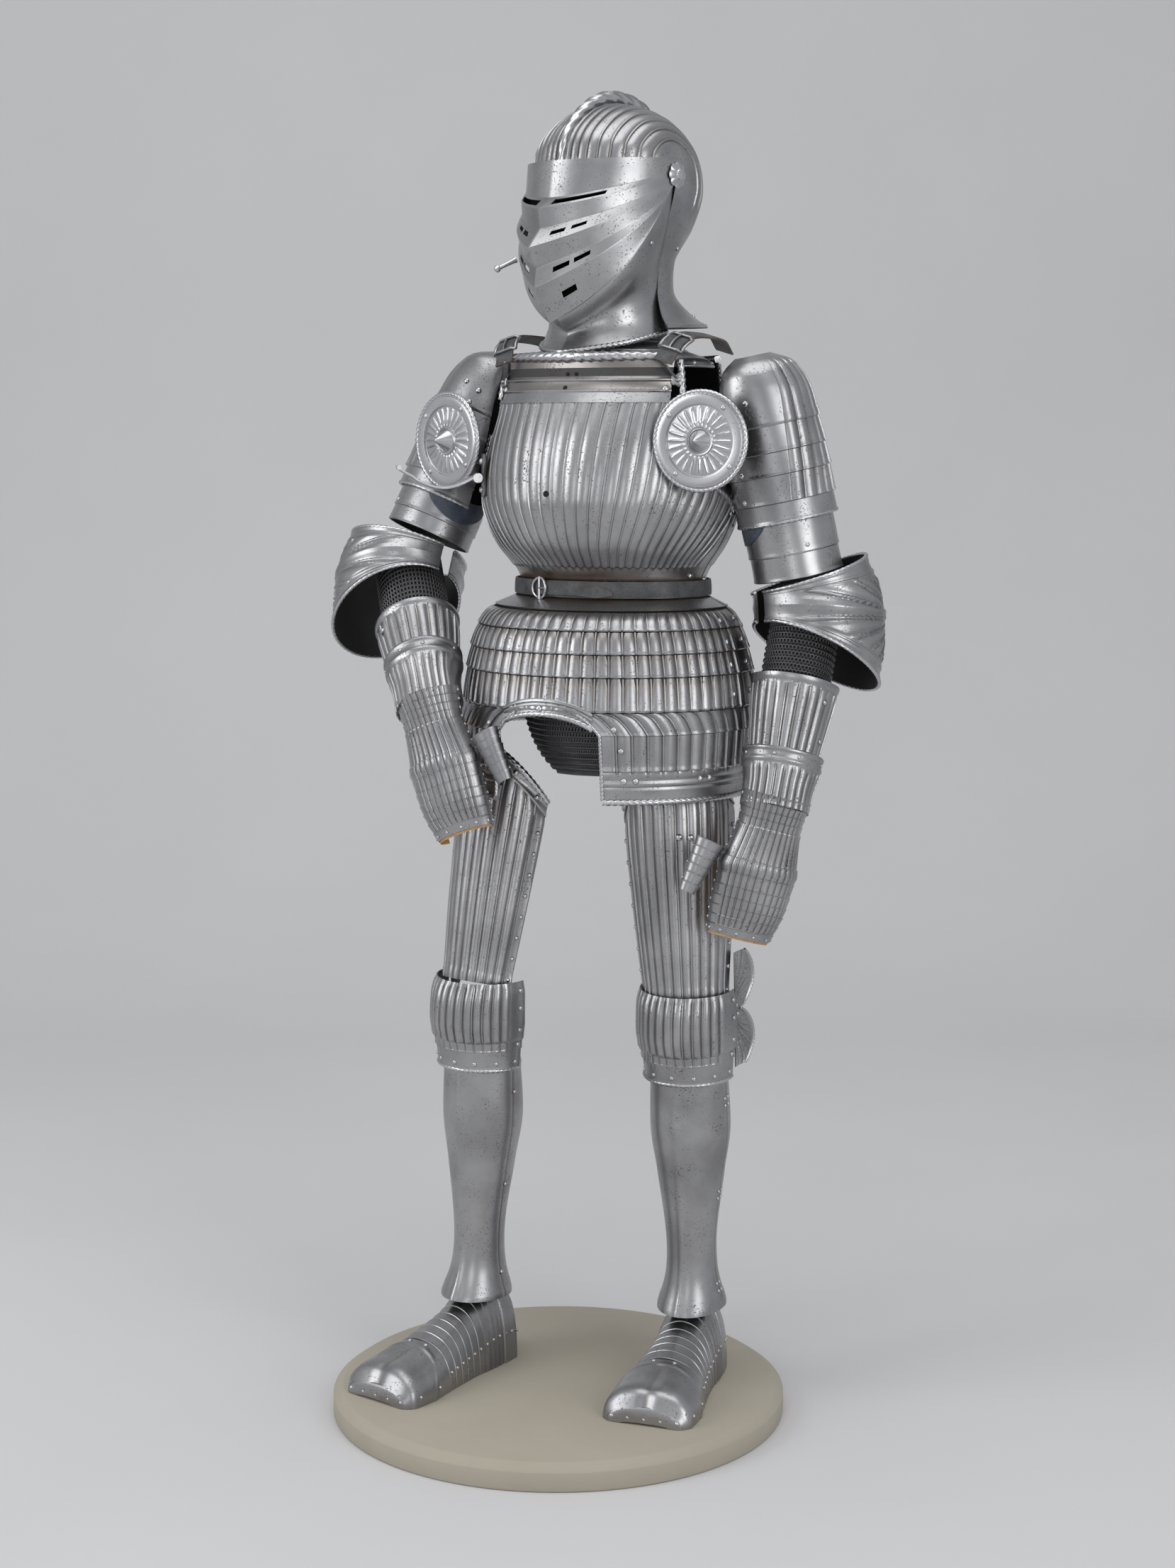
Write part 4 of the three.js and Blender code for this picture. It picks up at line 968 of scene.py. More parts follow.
@dataclass
class Breast:
    """The fluted breastplate, its neck band and the crescents at its armholes."""

    FLUTED = 0.86          # share of the plate's rows above its smooth waist

    top: float = 1380.0
    band_top: float = 1441.0
    foot: float = 1123.0
    flute_foot: float = 1163.0
    side_seam: float = 93.0
    armhole: float = 61.0
    armhole_foot: float = 1232.0
    armhole_rise: float = 75.0
    pitch_foot: float = 4.55
    pitch_top: float = 7.3
    flutes: int = 17

    def edge(self, z: Array) -> Array:
        """Return the angle of the plate's edge at a height."""
        return mix(self.side_seam, self.armhole,
                   ramp(z, self.armhole_foot, self.armhole_foot + self.armhole_rise))

    def pitch(self, z: Array) -> Array:
        """Return the angle between two flutes at a height."""
        share = np.clip((z - self.flute_foot) / (self.top - self.flute_foot), 0, 1)
        return mix(self.pitch_foot, self.pitch_top, share)

    def angle(self, count: Array, z: Array) -> Array:
        """Return the angle of a place counted in flutes from the middle."""
        last = self.flutes * self.pitch(z)
        beyond = np.clip(np.abs(count) - self.flutes, 0, 1)
        plain = np.minimum(np.abs(count), self.flutes) * self.pitch(z)
        return np.sign(count) * np.where(beyond > 0, mix(last, self.edge(z), beyond), plain)

    def height(self, count: Array) -> Array:
        """Return how high the plate reaches at a place counted in flutes."""
        levels = np.linspace(self.top, self.armhole_foot, 240)
        reach = np.maximum.accumulate(self.edge(levels) / self.pitch(levels))
        return np.interp(np.minimum(np.abs(count), self.flutes), reach, levels, left=self.top,
                         right=self.armhole_foot)

    def surface(self, count: Array, v: Array) -> Array:
        """Return the plate's skin: v is 0 at the top, FLUTED at the flutes' feet and 1 at the waist."""
        upper = mix(self.height(count), self.flute_foot, np.clip(v / self.FLUTED, 0, 1))
        lower = mix(self.flute_foot, self.foot, np.clip((v - self.FLUTED) / (1 - self.FLUTED), 0, 1))
        z = np.where(v < self.FLUTED, upper, lower)
        return TRUNK.point(z, self.angle(count, z))

    def build(self, shop: Shop) -> None:
        """Make the pieces."""
        trim = Trim()
        flutes = Flutes(1.0, 0.6, 0.6)
        us = joined(flutes.places(-self.flutes - 0.5, self.flutes + 0.5),
                    [-self.flutes - 1, self.flutes + 1])
        vs = joined(np.linspace(0, 0.84, 52), [0.845, 0.85, 0.855, 0.86, 0.865, 0.875, 0.885],
                    np.linspace(0.9, 1, 5))
        reach = 0.5 - np.abs(us - np.round(us))
        step = ramp(0.868 - 0.02 * reach[None, :] ** 0.5 - vs[:, None], 0.0, 0.008)
        sides = ramp(self.flutes + 0.45 - np.abs(us), 0.0, 0.2)
        relief = (flutes.heights(us)[None, :] + 1.1) * step * sides[None, :] - 0.4
        form = Form()
        plate = Plate(self.surface, us, vs, relief)
        plate.add_to(form, TRUNK_PLACE)
        trim.rivet(TRUNK_PLACE, plate.spot([16.9, -16.9], [0.9, 0.9], 0.6), 4.2)
        trim.rivet(TRUNK_PLACE, plate.spot([16.6, -16.6], [0.06, 0.06], 1.2), 4.2)
        self.armhole_ropes(plate, trim)
        shop.piece("breastplate", form, shop.finishes.steel, ["breastplate"])
        self.neck_band(shop, trim)
        self.gussets(shop, trim)
        shop.trim("breast", trim)

    def armhole_ropes(self, plate: Plate, trim: Trim) -> None:
        """Rope the armholes' edges above the round shields."""
        for side in (-1, 1):
            z = np.linspace(1386, 1436, 12)
            angle = side * np.interp(z, [1386, 1436], [62.5, 58.0])
            line = TRUNK.point(z, angle) * np.array([1.01, 1.01, 1.0])
            trim.rope(TRUNK_PLACE, line, 5.4, 0.9 * side)
            count = side * np.linspace(9.0, 17.4, 30)
            line, _ = plate.spot(count, np.full(30, 0.004), 1.5)
            trim.rope(TRUNK_PLACE, line, 4.2, 0.9 * side)

    def neck_band(self, shop: Shop, trim: Trim) -> None:
        """Make the band under the big roped roll."""
        rows = [(1441, -0.5), (1434, -1.2), (1426, -2.6), (1416, -2.4), (1412.5, -1.2), (1411.2, 1.4),
                (1409.6, 1.4),
                (1408.2, -0.9), (1403, -1.6), (1398.5, -0.8), (1397, 1.3), (1395.4, 1.3), (1394, -0.2),
                (1388, 0.6),
                (1382, 1.5), (1380.2, 1.7), (1380, 0.2)]
        heights, relief = bands([(-z, h) for z, h in rows])
        surface = TRUNK.wrapped(-55.0, 55.0, self.band_top, self.top)
        vs = (-heights - self.band_top) / (self.top - self.band_top)
        vs = np.clip(vs, 0, 1)
        form = Form()
        plate = Plate(surface, np.linspace(0, 1, 60), vs, relief[:, None], 2.4)
        plate.add_to(form, TRUNK_PLACE)
        shop.piece("neck_band", form, shop.finishes.steel, ["neck_band"])
        share = np.linspace(0.005, 0.995, 60)
        line, _ = plate.spot(share, np.full(60, 0.02), -1.5)
        line[:, 2] += 2.0
        line[:, 1] -= 1.5
        trim.rope(TRUNK_PLACE, line, np.interp(np.abs(share - 0.5), [0, 0.08, 0.5], [8.6, 8.2, 5.6]), 0.8,
                  meet=True)
        trim.rivet(TRUNK_PLACE, plate.spot([0.03, 0.97], [0.7, 0.7], 0.6), 5.0)
        # Painted shadow: near-black discs stand for the shade inside the drilled holes.
        holes = Form()
        for u, v, size in ((0.478, 0.36, 2.3), (0.522, 0.36, 2.3), (0.485, 0.66, 3.2)):
            self.hole(holes, plate, u, v, size)
        breast_spot = TRUNK.point(np.array(1262.0), np.array(-2.0))
        turned(holes, TRUNK_PLACE.within(facing_place(breast_spot + np.array([0, -0.4, 0]),
                                                      np.array([0, -1.0, 0.05]))),
               [(4.2, -0.5), (4.2, 1.0), (0.5, 1.05)], 14)
        shop.piece("breast_hole_shade_discs", holes, shop.finishes.hole)

    @staticmethod
    def hole(form: Form, plate: Plate, u: float, v: float, size: float) -> None:
        """Add one drilled hole as a near-black disc of painted shadow."""
        point, normal = plate.spot(u, v, 0.0)
        turned(form, TRUNK_PLACE.within(facing_place(point, normal)),
               [(size, -3.0), (size, -0.6), (0.4, -0.55)], 14)

    def gussets(self, shop: Shop, trim: Trim) -> None:
        """Make the crescents that continue the plate round the armholes."""
        for name, mirror in (("gusset_left", False), ("gusset_right", True)):
            place = Place(TRUNK_PLACE.matrix, mirror)
            z = lambda v: mix(1392.0, 1248.0, v)
            wide = lambda v: 17.0 * np.sin(np.pi * mix(0.12, 0.62, v))
            back = lambda v: mix(94.0, 122.0, ramp(z(v), self.armhole_foot, self.armhole_foot + 90))
            surface = TRUNK.wrapped(lambda v: self.edge(z(v)) + 0.8,
                                    lambda v: np.minimum(self.edge(z(v)) + wide(v), back(v) - 2.5), 1392.0,
                                    1248.0)
            us = joined(np.linspace(0, 1, 14))
            relief = np.interp(us, [0, 0.1, 0.2, 0.85, 0.92, 1.0], [0.4, -0.6, -0.8, -0.4, 0.9, 0.3])
            plate = Plate(surface, us, np.linspace(0, 1, 26), np.repeat(relief[None, :], 26, axis=0))
            form = Form()
            plate.add_to(form, place)
            shop.piece(name, form, shop.finishes.steel, [name])
            trim.rivet(place, plate.spot([0.5, 0.5], [0.93, 0.12], 0.0), 4.6)
            line, _ = plate.spot(np.full(30, 0.99), np.linspace(0.05, 0.95, 30), 0.5)
            trim.rope(place, line, 3.6, 0.9)


def facing_place(point: Array, normal: Array) -> Place:
    """Return a place at a point whose +Z looks along a normal."""
    matrix = np.eye(4)
    matrix[:3, :3] = np.array(Vector(normal).to_track_quat("Z", "Y").to_matrix())
    matrix[:3, 3] = point
    return Place(matrix)


@dataclass
class Back:
    """The fluted backplate, roped at its collar."""

    flutes: int = 26

    def build(self, shop: Shop, breast: Breast) -> None:
        """Make the pieces."""
        def edge(z: Array) -> Array:
            return mix(94.0, 122.0, ramp(z, breast.armhole_foot, breast.armhole_foot + 90))

        top, foot = 1440.0, 1123.0
        height = lambda v: mix(top, foot, v)
        surface = TRUNK.wrapped(lambda v: edge(height(v)), lambda v: 360 - edge(height(v)), top, foot)
        flutes = Flutes(1.0, 0.6, 0.6)
        count = flutes.places(0.5, self.flutes - 0.5)
        us = joined(count / self.flutes, [0, 1])
        vs = joined(np.linspace(0, 1, 60), np.linspace(0.86, 0.88, 5), np.linspace(0.1, 0.13, 5))
        fade = ramp(vs, 0.1, 0.13) * ramp(0.88 - vs, 0, 0.02)
        relief = (flutes.heights(us * self.flutes) + 0.8)[None, :] * fade[:, None]
        relief[:, [0, -1]] = 0
        form, trim = Form(), Trim()
        plate = Plate(surface, us, vs, relief)
        plate.add_to(form, TRUNK_PLACE)
        shop.piece("backplate", form, shop.finishes.steel, ["backplate"])
        line, _ = plate.spot(np.linspace(0, 1, 60), np.zeros(60), -1.0)
        trim.rope(TRUNK_PLACE, line, 5.5, 0.8, meet=True)
        for side in (0.006, 0.994):
            line, _ = plate.spot(np.full(40, side), np.linspace(0.02, 0.58, 40), 0.5)
            trim.rope(TRUNK_PLACE, line, 3.6, 0.9)
        trim.rivet(TRUNK_PLACE, plate.spot([0.03, 0.97, 0.03, 0.97], [0.93, 0.93, 0.7, 0.7], 0.4), 4.4)
        shop.trim("back", trim)


@dataclass
class Belt:
    """The waist belt with its round buckle and loose end."""

    foot: float = 1124.0
    top: float = 1145.0
    rings: Rings = Rings(((1124, 142, 110, 111), (1145, 141, 109, 110)))

    def build(self, shop: Shop) -> None:
        """Make the pieces."""
        form = Form()
        us, vs = np.linspace(0, 1, 121), np.linspace(0, 1, 7)
        relief = np.repeat(np.array([-0.4, 0.1, 0.3, 0.3, 0.3, 0.1, -0.4])[:, None], 121, axis=1)
        relief = relief + 0.4 * np.sin(us * 31)[None, :] * np.sin(us * 17)[None, :]
        plate = Plate(self.rings.wrapped(0.0, 360.0, self.top, self.foot), us, vs, relief, LEATHER,
                      wrap=True, border=1)
        plate.add_to(form, TRUNK_PLACE)
        belt = shop.piece("belt", form, shop.finishes.hide, ["belt"], Slot.LEATHER,
                          border=shop.finishes.tan)
        tail = self.tail(shop)
        self.buckle(shop)

    def tail(self, shop: Shop) -> bpy.types.Object:
        """Make the loose end that comes out of the buckle and droops."""
        def surface(u: Array, v: Array) -> Array:
            angle = mix(-24.0, 24.0, v)
            skin = self.rings.point(mix(1143.0, 1126.5, u), angle)
            droop = 14.0 * np.clip(v - 0.45, 0, 1) ** 1.6
            narrow = 1 - 0.75 * np.clip((v - 0.8) / 0.2, 0, 1) ** 1.5
            skin[..., 2] = 1135 + (skin[..., 2] - 1135) * narrow - droop
            skin[..., 1] -= 3.6 + 1.5 * np.clip(v - 0.4, 0, 1)
            return skin

        form = Form()
        Plate(surface, np.linspace(0, 1, 6), np.linspace(0, 1, 40), 0.0, 2.2, border=1).add_to(form,
                                                                                               TRUNK_PLACE)
        return shop.piece("belt_tail", form, shop.finishes.hide, (), Slot.LEATHER, border=shop.finishes.tan)

    def buckle(self, shop: Shop) -> None:
        """Make the ring buckle with its pin."""
        point = self.rings.point(np.array(1134.5), np.array(-22.0))
        normal = unit(np.array([point[0] * 0.8, point[1], 0.0]))
        place = TRUNK_PLACE.within(facing_place(point + normal * 3.2, normal))
        angle = np.linspace(0, 2 * np.pi, 41)
        ring = np.stack([14.5 * np.cos(angle), 13.5 * np.sin(angle), 0.6 * np.cos(2 * angle)], 1)
        form = Form()
        tube(form, place, ring, 1.9, 10)
        across = np.stack([np.zeros(9), np.linspace(-15, 15, 9), np.full(9, 0.4)], 1)
        tube(form, place, across, 1.7, 8)
        pin = np.stack([np.linspace(0, 15, 9), np.zeros(9), np.linspace(0.5, 1.8, 9)], 1)
        tube(form, place, pin, 1.5, 8)
        shop.piece("belt_buckle", form, shop.finishes.edge_steel, ["belt_buckle"])


@dataclass
class Straps:
    """Shoulder straps of leather, each held by a hinge plate and an engraved buckle."""

    width: float = 27.0
    route: tuple = ((122, -84, 1434), (130, -66, 1460), (138, -20, 1471), (136, 40, 1469), (124, 92, 1452))

    def surface(self, u: Array, v: Array) -> Array:
        """Return the strap's upper face."""
        line = np.array(self.route, float)
        walked = np.concatenate([[0], np.cumsum(np.linalg.norm(np.diff(line, axis=0), axis=1))])
        walked /= walked[-1]
        x, y, z = (through(walked, line[:, k], v) for k in range(3))
        across = (u - 0.5) * self.width
        return np.stack([x + across * 0.96, y, z - across * 0.28], -1)

    def build(self, shop: Shop) -> None:
        """Make the pieces."""
        trim = Trim()
        for name, mirror in (("strap_left", False), ("strap_right", True)):
            place = Place(TRUNK_PLACE.matrix, mirror)
            form = Form()
            us = joined(np.linspace(0, 1, 12))
            relief = np.interp(us, [0, 0.08, 0.14, 0.2, 0.8, 0.86, 0.92, 1],
                               [-0.3, 0.2, -0.2, 0.2, 0.2, -0.2, 0.2, -0.3])
            plate = Plate(self.surface, us, np.linspace(0, 1, 40), np.repeat(relief[None, :], 40, axis=0),
                          LEATHER,
                          border=1)
            plate.add_to(form, place)
            strap = shop.piece(name, form, shop.finishes.hide, [name], Slot.LEATHER,
                               border=shop.finishes.brown)
            self.buckle(shop, place, plate, name, trim)
        shop.trim("strap", trim)

    def buckle(self, shop: Shop, place: Place, plate: Plate, name: str, trim: Trim) -> None:
        """Make the buckle, its keeper and the hinge plate that ties it to the breast."""
        form = Form()
        corners = np.array([(-0.12, 0.1), (1.12, 0.1), (1.12, 0.25), (-0.12, 0.25), (-0.12, 0.1)])
        side = np.concatenate([mix(a, b, np.linspace(0, 1, 8)[:-1, None]) for a,
                               b in zip(corners[:-1], corners[1:])])
        side = np.concatenate([side, side[:1]])
        line, _ = plate.spot(side[:, 0], side[:, 1], 1.8)
        tube(form, place, line, 2.6, 10, 0.8)
        line, _ = plate.spot(np.full(6, 0.5), np.linspace(0.1, 0.27, 6), 2.6)
        tube(form, place, line, 1.3, 8)
        hinge = self.surface(np.array(0.5), np.array(0.06)) + np.array([-7.0, -4.0, -8.0])
        face = facing_place(TRUNK.point(np.array(1410.0), np.array(58.0)) + np.array([1.2, -2.0, 0]),
                            unit(np.array([0.55, -0.83, 0.12])))
        flower = Place(place.matrix, place.mirror).within(face)
        turned(form, flower, [(9.5, -1.0), (9.5, 1.4), (8.0, 2.2), (3.5, 2.4), (3.0, 4.4), (1.2, 5.2)], 30,
               5, 0.22)
        spine = np.stack([mix(face.matrix[:3, 3], hinge, t) for t in np.linspace(0, 1, 6)])
        tube(form, place, spine, 5.0, 8, 0.3)
        shop.piece(name + "_buckle", form, shop.finishes.steel)
        trim.rivet(place, plate.spot([0.3, 0.7], [0.9, 0.9], 0.2), 3.2)


@dataclass
class Shields:
    """The round shields that hang before the armpits."""

    radius: float = 67.0
    height: float = 1331.0
    ribs: int = 24
    places: tuple = (("besagew_left", 190.0, -104.0, 5.0), ("besagew_right", -202.0, -96.0, -17.0))

    def relief(self, r: Array, angle: Array) -> Array:
        """Return the disc's height at a radius and an angle."""
        profile = [(0, 27.5), (1.2, 26.5), (14.6, 7.4), (15.2, 6.6), (16.2, 6.4), (17, 8.2), (18.6, 8.4),
                   (19.4, 6.2),
                   (45.5, 4.2), (46.6, 4.4), (47.4, 7.2), (49, 7.4), (58, 7.6), (59.4, 7.2), (60.2, 5.6),
                   (63, 5.2)]
        places, heights = np.array(profile, float).T
        rib_off = np.abs(self.ribs * angle / (2 * np.pi) - np.round(self.ribs * angle / (2 * np.pi)))
        width = rib_off * 2 * np.pi * r / self.ribs
        rib = 1.7 * np.clip(1 - width / 1.5, 0, 1) ** 0.7 * ramp(r, 20, 24) * ramp(45, r, r + 3)
        rib = rib * (r < 45)
        return np.interp(r, places, heights) + rib

    def build(self, shop: Shop) -> None:
        """Make the discs, their ropes and rivets."""
        trim = Trim()
        offs = np.array([-0.28, -0.13, -0.06, 0.0, 0.06, 0.13, 0.28, 0.5]) / self.ribs
        turns = np.sort((np.arange(self.ribs)[:, None] / self.ribs + offs[None, :]).ravel() % 1.0)
        turns = np.concatenate([turns, turns[:1] + 1])
        radii = np.array([0.2, 1.2, 5, 10, 14.6, 15.2, 16.2, 17, 18.6, 19.4, 20.2, 22, 24, 30, 36, 42,
                          44.4, 45, 45.5,
                          46.6, 47.4, 49, 54, 58, 59.4, 60.2, 63])
        for name, x, y, turn in self.places:
            frame_place = TRUNK_PLACE.within(Place.at(x, y, self.height, turn))

            def surface(u: Array, v: Array) -> Array:
                angle = 2 * np.pi * u
                depth = self.relief(v, angle)
                return np.stack([v * np.sin(angle), -depth, v * np.cos(angle)], -1)

            form = Form()
            plate = Plate(surface, turns, radii, 0.0, 2.2, wrap=True, outward=-1)
            plate.normal = np.broadcast_to(np.array([0.0, -1.0, 0.0]), plate.base.shape)
            plate.add_to(form, frame_place)
            cap = np.stack([0.2 * np.sin(np.linspace(0, 2 * np.pi, 9)[:-1]), np.full(8, -27.4),
                            0.2 * np.cos(np.linspace(0, 2 * np.pi, 9)[:-1])], 1)
            form.add(frame_place.put(cap), [(np.arange(8)[None, ::-1], 0)])
            shop.piece(name, form, shop.finishes.edge_steel, [name])
            angle = np.linspace(0, 2 * np.pi, 120)
            ring = np.stack([63.6 * np.sin(angle), np.full(120, -3.9), 63.6 * np.cos(angle)], 1)
            trim.rope(frame_place, ring, 3.3, 0.75)
            spots = np.radians([38, 128, 218, 308])
            heads = np.stack([53.5 * np.sin(spots), np.full(4, -7.6), 53.5 * np.cos(spots)], 1)
            trim.rivet(frame_place, (heads, np.tile([0, -1.0, 0], (4, 1))), 3.6)
        shop.trim("besagew", trim)


@dataclass
class LanceRest:
    """The lance rest: a lobed bracket, a knuckled hinge and an arm that folds up."""

    angle: float = -48.0
    height: float = 1284.0
    turn: float = -46.0
    stand: float = 14.0
    barrel: float = 6.5
    arm_long: float = 102.0
    arm_wide: float = 20.0
    arm_thick: float = 6.0
    dip: float = 13.0

    def build(self, shop: Shop) -> None:
        """Make the bracket and the arm."""
        base = TRUNK.point(np.array(self.height), np.array(self.angle))
        place = TRUNK_PLACE.within(Place.at(base[0], base[1], base[2], self.turn))
        trim, form = Trim(), Form()

        def leaf(u: Array, v: Array) -> Array:
            z = mix(29.0, -29.0, v)
            lobe = 10.5 * (0.62 + 0.38 * np.abs(np.cos(np.pi * v)) ** 0.8) * np.sqrt(np.clip(1
                    - (z / 30.5) ** 8, 0, 1))
            x = (2 * u - 1) * lobe
            return np.stack([x, -7.5 + 0.02 * x**2, z], -1)

        plate = Plate(leaf, np.linspace(0, 1, 9), np.linspace(0, 1, 30), 0.0, 4.0)
        plate.outward = 0
        plate.add_to(form, place)
        for low, high in ((-11.0, -3.6), (-3.0, 5.0)):
            line = np.stack([np.linspace(low, high, 5), np.full(5, -self.stand - 0.5), np.full(5, -3.0)], 1)
            tube(form, place, line, 5.8, 14)
        block = np.stack([np.linspace(-10, 4, 5), np.full(5, -self.stand + 4.5), np.full(5, -3.0)], 1)
        tube(form, place, block, 5.0, 8)
        trim.rivet(place, (np.array([[0, -8.1, 19.0], [0, -8.1, -19.0]]), np.tile([0, -1.0, 0], (2, 1))),
                   4.6)
        shop.piece("lance_bracket", form, shop.finishes.steel, ["lance_bracket"])
        shop.trim("lance_bracket", trim)
        arm_place = place.within(Place.at(0, -self.stand - 0.5, -3))
        form = Form()

        def arm(u: Array, v: Array) -> Array:
            angle = 2 * np.pi * u
            sag = -self.dip * np.sin(np.pi * np.minimum(v * 1.25, 1)) + 14 * np.maximum(v - 0.75, 0) * 4 * v
            wide = mix(self.arm_wide, 9.0, v**1.5) / 2
            round_x = np.sign(np.sin(angle)) * np.abs(np.sin(angle)) ** 0.55
            round_z = np.sign(np.cos(angle)) * np.abs(np.cos(angle)) ** 0.55
            thick = self.arm_thick / 2 * mix(1.0, 0.7, v)
            return np.stack([wide * round_x, -v * self.arm_long - self.barrel, sag + thick * round_z], -1)

        u, v = np.meshgrid(np.linspace(0, 1, 17)[:-1], np.linspace(0, 1, 40))
        body = arm(u, v).reshape(-1, 3)
        rows, c = np.arange(39)[:, None] * 16, np.arange(16)[None, :]
        n = (c + 1) % 16
        quads = np.stack([rows + c, rows + 16 + c, rows + 16 + n, rows + n], -1).reshape(-1, 4)
        ends = [(np.arange(16)[None, :], 0), (39 * 16 + np.arange(16)[None, ::-1], 0)]
        form.add(arm_place.put(body), [(quads[:, ::-1], 0)] + [(e[:, ::-1], s) for e, s in ends])
        knuckle = np.stack([np.linspace(5.6, 10.5, 5), np.zeros(5), np.zeros(5)], 1)
        tube(form, arm_place, knuckle, 6.6, 14)
        curl = np.stack([np.linspace(-5, 5, 4), np.full(4, -self.arm_long - self.barrel + 2),
                         np.full(4, 14.5)], 1)
        tube(form, arm_place, curl, 3.2, 10)
        shop.piece("lance_arm", form, shop.finishes.edge_steel, ["lance_arm"], body=Body.LANCE)


@dataclass
class Gorget:
    """The collar under the helmet, of lames with a rolled top."""

    rings: Rings = Rings(((1428, 147, 93, 97), (1440, 134, 88, 96), (1452, 98, 80, 90), (1462, 76, 74, 76),
                          (1500, 71, 70, 72)))

    def build(self, shop: Shop) -> None:
        """Make the collar."""
        edges = [0.0, 0.2, 0.36, 0.52, 0.7, 1.0]
        vs, heights = lames(edges, 1.0, 0.4, 4)
        form, trim = Form(), Trim()
        plate = Plate(self.rings.wrapped(0.0, 360.0, 1500.0, 1428.0), np.linspace(0, 1, 97), vs,
                      heights[:, None], wrap=True)
        plate.add_to(form, TRUNK_PLACE)
        shop.piece("gorget", form, shop.finishes.steel, ["gorget"])
        line, _ = plate.spot(np.linspace(0, 1, 90), np.zeros(90), 0.0)
        trim.rope(TRUNK_PLACE, line, 3.4, 0.9)
        around = np.linspace(0.04, 0.96, 12)
        trim.rivet(TRUNK_PLACE, plate.spot(around, np.full(12, 0.93), 0.8), 3.0)
        shop.trim("gorget", trim)


@dataclass
class Skirt:
    """The skirt of fluted lames, its tassets and the plates behind."""

    rings: Rings = Rings((
        (1121, 142, 108, 107), (1108, 168, 150, 113), (1083, 187, 176, 122), (1053, 197, 186, 132),
        (1023, 203, 191, 140), (978, 207, 196, 148), (948, 206, 195, 149), (899, 201, 191, 145),
        (860, 197, 188, 141)))
    edges: tuple = (1108.0, 1083.0, 1053.0, 1023.0, 978.0)
    side_seam: float = 101.0
    flutes: int = 38
    foot: float = 860.0
    arch_side: float = 74.0
    arch_mid: float = 8.0
    swing: float = 0.1

    def lame(self, shop: Shop, trim: Trim, name: str, top: float, foot: float, last: bool) -> None:
        """Make one fluted lame of the front."""
        flutes = Flutes(1.5, 0.7, 0.9)
        count = flutes.places(0.0, self.flutes)
        us = count / self.flutes
        reach = 0.5 - np.abs(count - np.round(count))
        vs = joined(np.linspace(0, 0.84, 6), [0.88, 0.92, 0.96, 1.0])
        height = np.interp(vs, [0, 0.84, 0.88, 0.92, 0.96, 1.0], [-1.6, 0.5, 0.6, 1.3, 1.3, 0.3])
        fade = np.interp(vs, [0, 0.9, 1.0], [1, 1, 0.75]) * (ramp(vs, 0.0, 0.12) if top > 1100 else 1.0)
        stop = ramp(np.minimum(us, 1 - us) * self.flutes, 2.2, 2.5)
        relief = height[:, None] + (flutes.heights(count) * stop)[None, :] * fade[:, None]
        low = lambda u: foot + 0.6 + 1.5 * np.interp(u, us, reach)
        form = Form()
        plate = Plate(self.rings.wrapped(-self.side_seam, self.side_seam, top, low), us, vs, relief)
        plate.add_to(form, TRUNK_PLACE)
        shop.piece(name, form, shop.finishes.steel, [name])
        trim.rivet(TRUNK_PLACE, plate.spot([0.028, 0.972, 0.9, 0.1], [0.55, 0.55, 0.6, 0.6], 0.6), 4.4)
        if last:
            self.arch(shop, trim)

    def arch(self, shop: Shop, trim: Trim) -> None:
        """Make the ridged and roped band at the middle of the last lame."""
        def surface(u: Array, v: Array) -> Array:
            x = mix(-62.0, 70.0, u) + self.arch_mid * 0.5
            bow = np.sqrt(np.clip(1 - ((x - 4) / 84) ** 2, 0, 1))
            z = 948.0 + 42.0 * bow - mix(-6.0, 15.0, v)
            ring_z = np.clip(z, 948, 1000)
            side, front = self.rings.read(1, ring_z), self.rings.read(2, ring_z)
            y = -front * np.sqrt(np.clip(1 - (x / side) ** 2, 0, 1))
            return np.stack([x, y - 1.2, z], -1)

        rows, relief = bands([(0, 0.2), (0.1, 1.6), (0.2, 1.6), (0.28, 0.1), (0.36, 1.2), (0.44, 1.2),
                              (0.52, 0.0),
                              (0.7, -0.4), (0.86, 0.2), (1.0, 1.2)])
        plate = Plate(surface, np.linspace(0, 1, 50), rows, relief[:, None])
        form = Form()
        plate.add_to(form, TRUNK_PLACE)
        shop.piece("fauld_arch", form, shop.finishes.steel)
        line, _ = plate.spot(np.linspace(0, 1, 50), np.full(50, 1.0), 0.8)
        trim.rope(TRUNK_PLACE, line, 4.0, 0.8, meet=True)
        trim.rivet(TRUNK_PLACE, plate.spot([0.44], [0.68], 0.4), 5.0)

    def plain(self, shop: Shop, name: str, top: float, foot: float) -> None:
        """Make the smooth flange under the belt."""
        vs = np.linspace(0, 1, 12)
        form = Form()
        plate = Plate(self.rings.wrapped(-self.side_seam, self.side_seam, top, foot + 1.4),
                      np.linspace(0, 1, 80), vs,
                      np.repeat(np.interp(vs, [0, 0.9, 1], [0, 0.4, 0.8])[:, None], 80, axis=1))
        plate.add_to(form, TRUNK_PLACE)
        shop.piece(name, form, shop.finishes.steel, [name])

    def build(self, shop: Shop) -> None:
        """Make the pieces."""
        trim = Trim()
        self.plain(shop, "waist_flange", 1121.0, self.edges[0])
        for index, (top, foot) in enumerate(zip(self.edges[:-1], self.edges[1:])):
            self.lame(shop, trim, f"fauld_lame_{index + 1}", top, foot, index == 3)
        self.culet(shop, trim)
        for name, mirror, swing in (("tasset_left", False, 0.0), ("tasset_right", True, self.swing)):
            self.tasset(shop, trim, name, mirror, swing)
        shop.trim("skirt", trim)

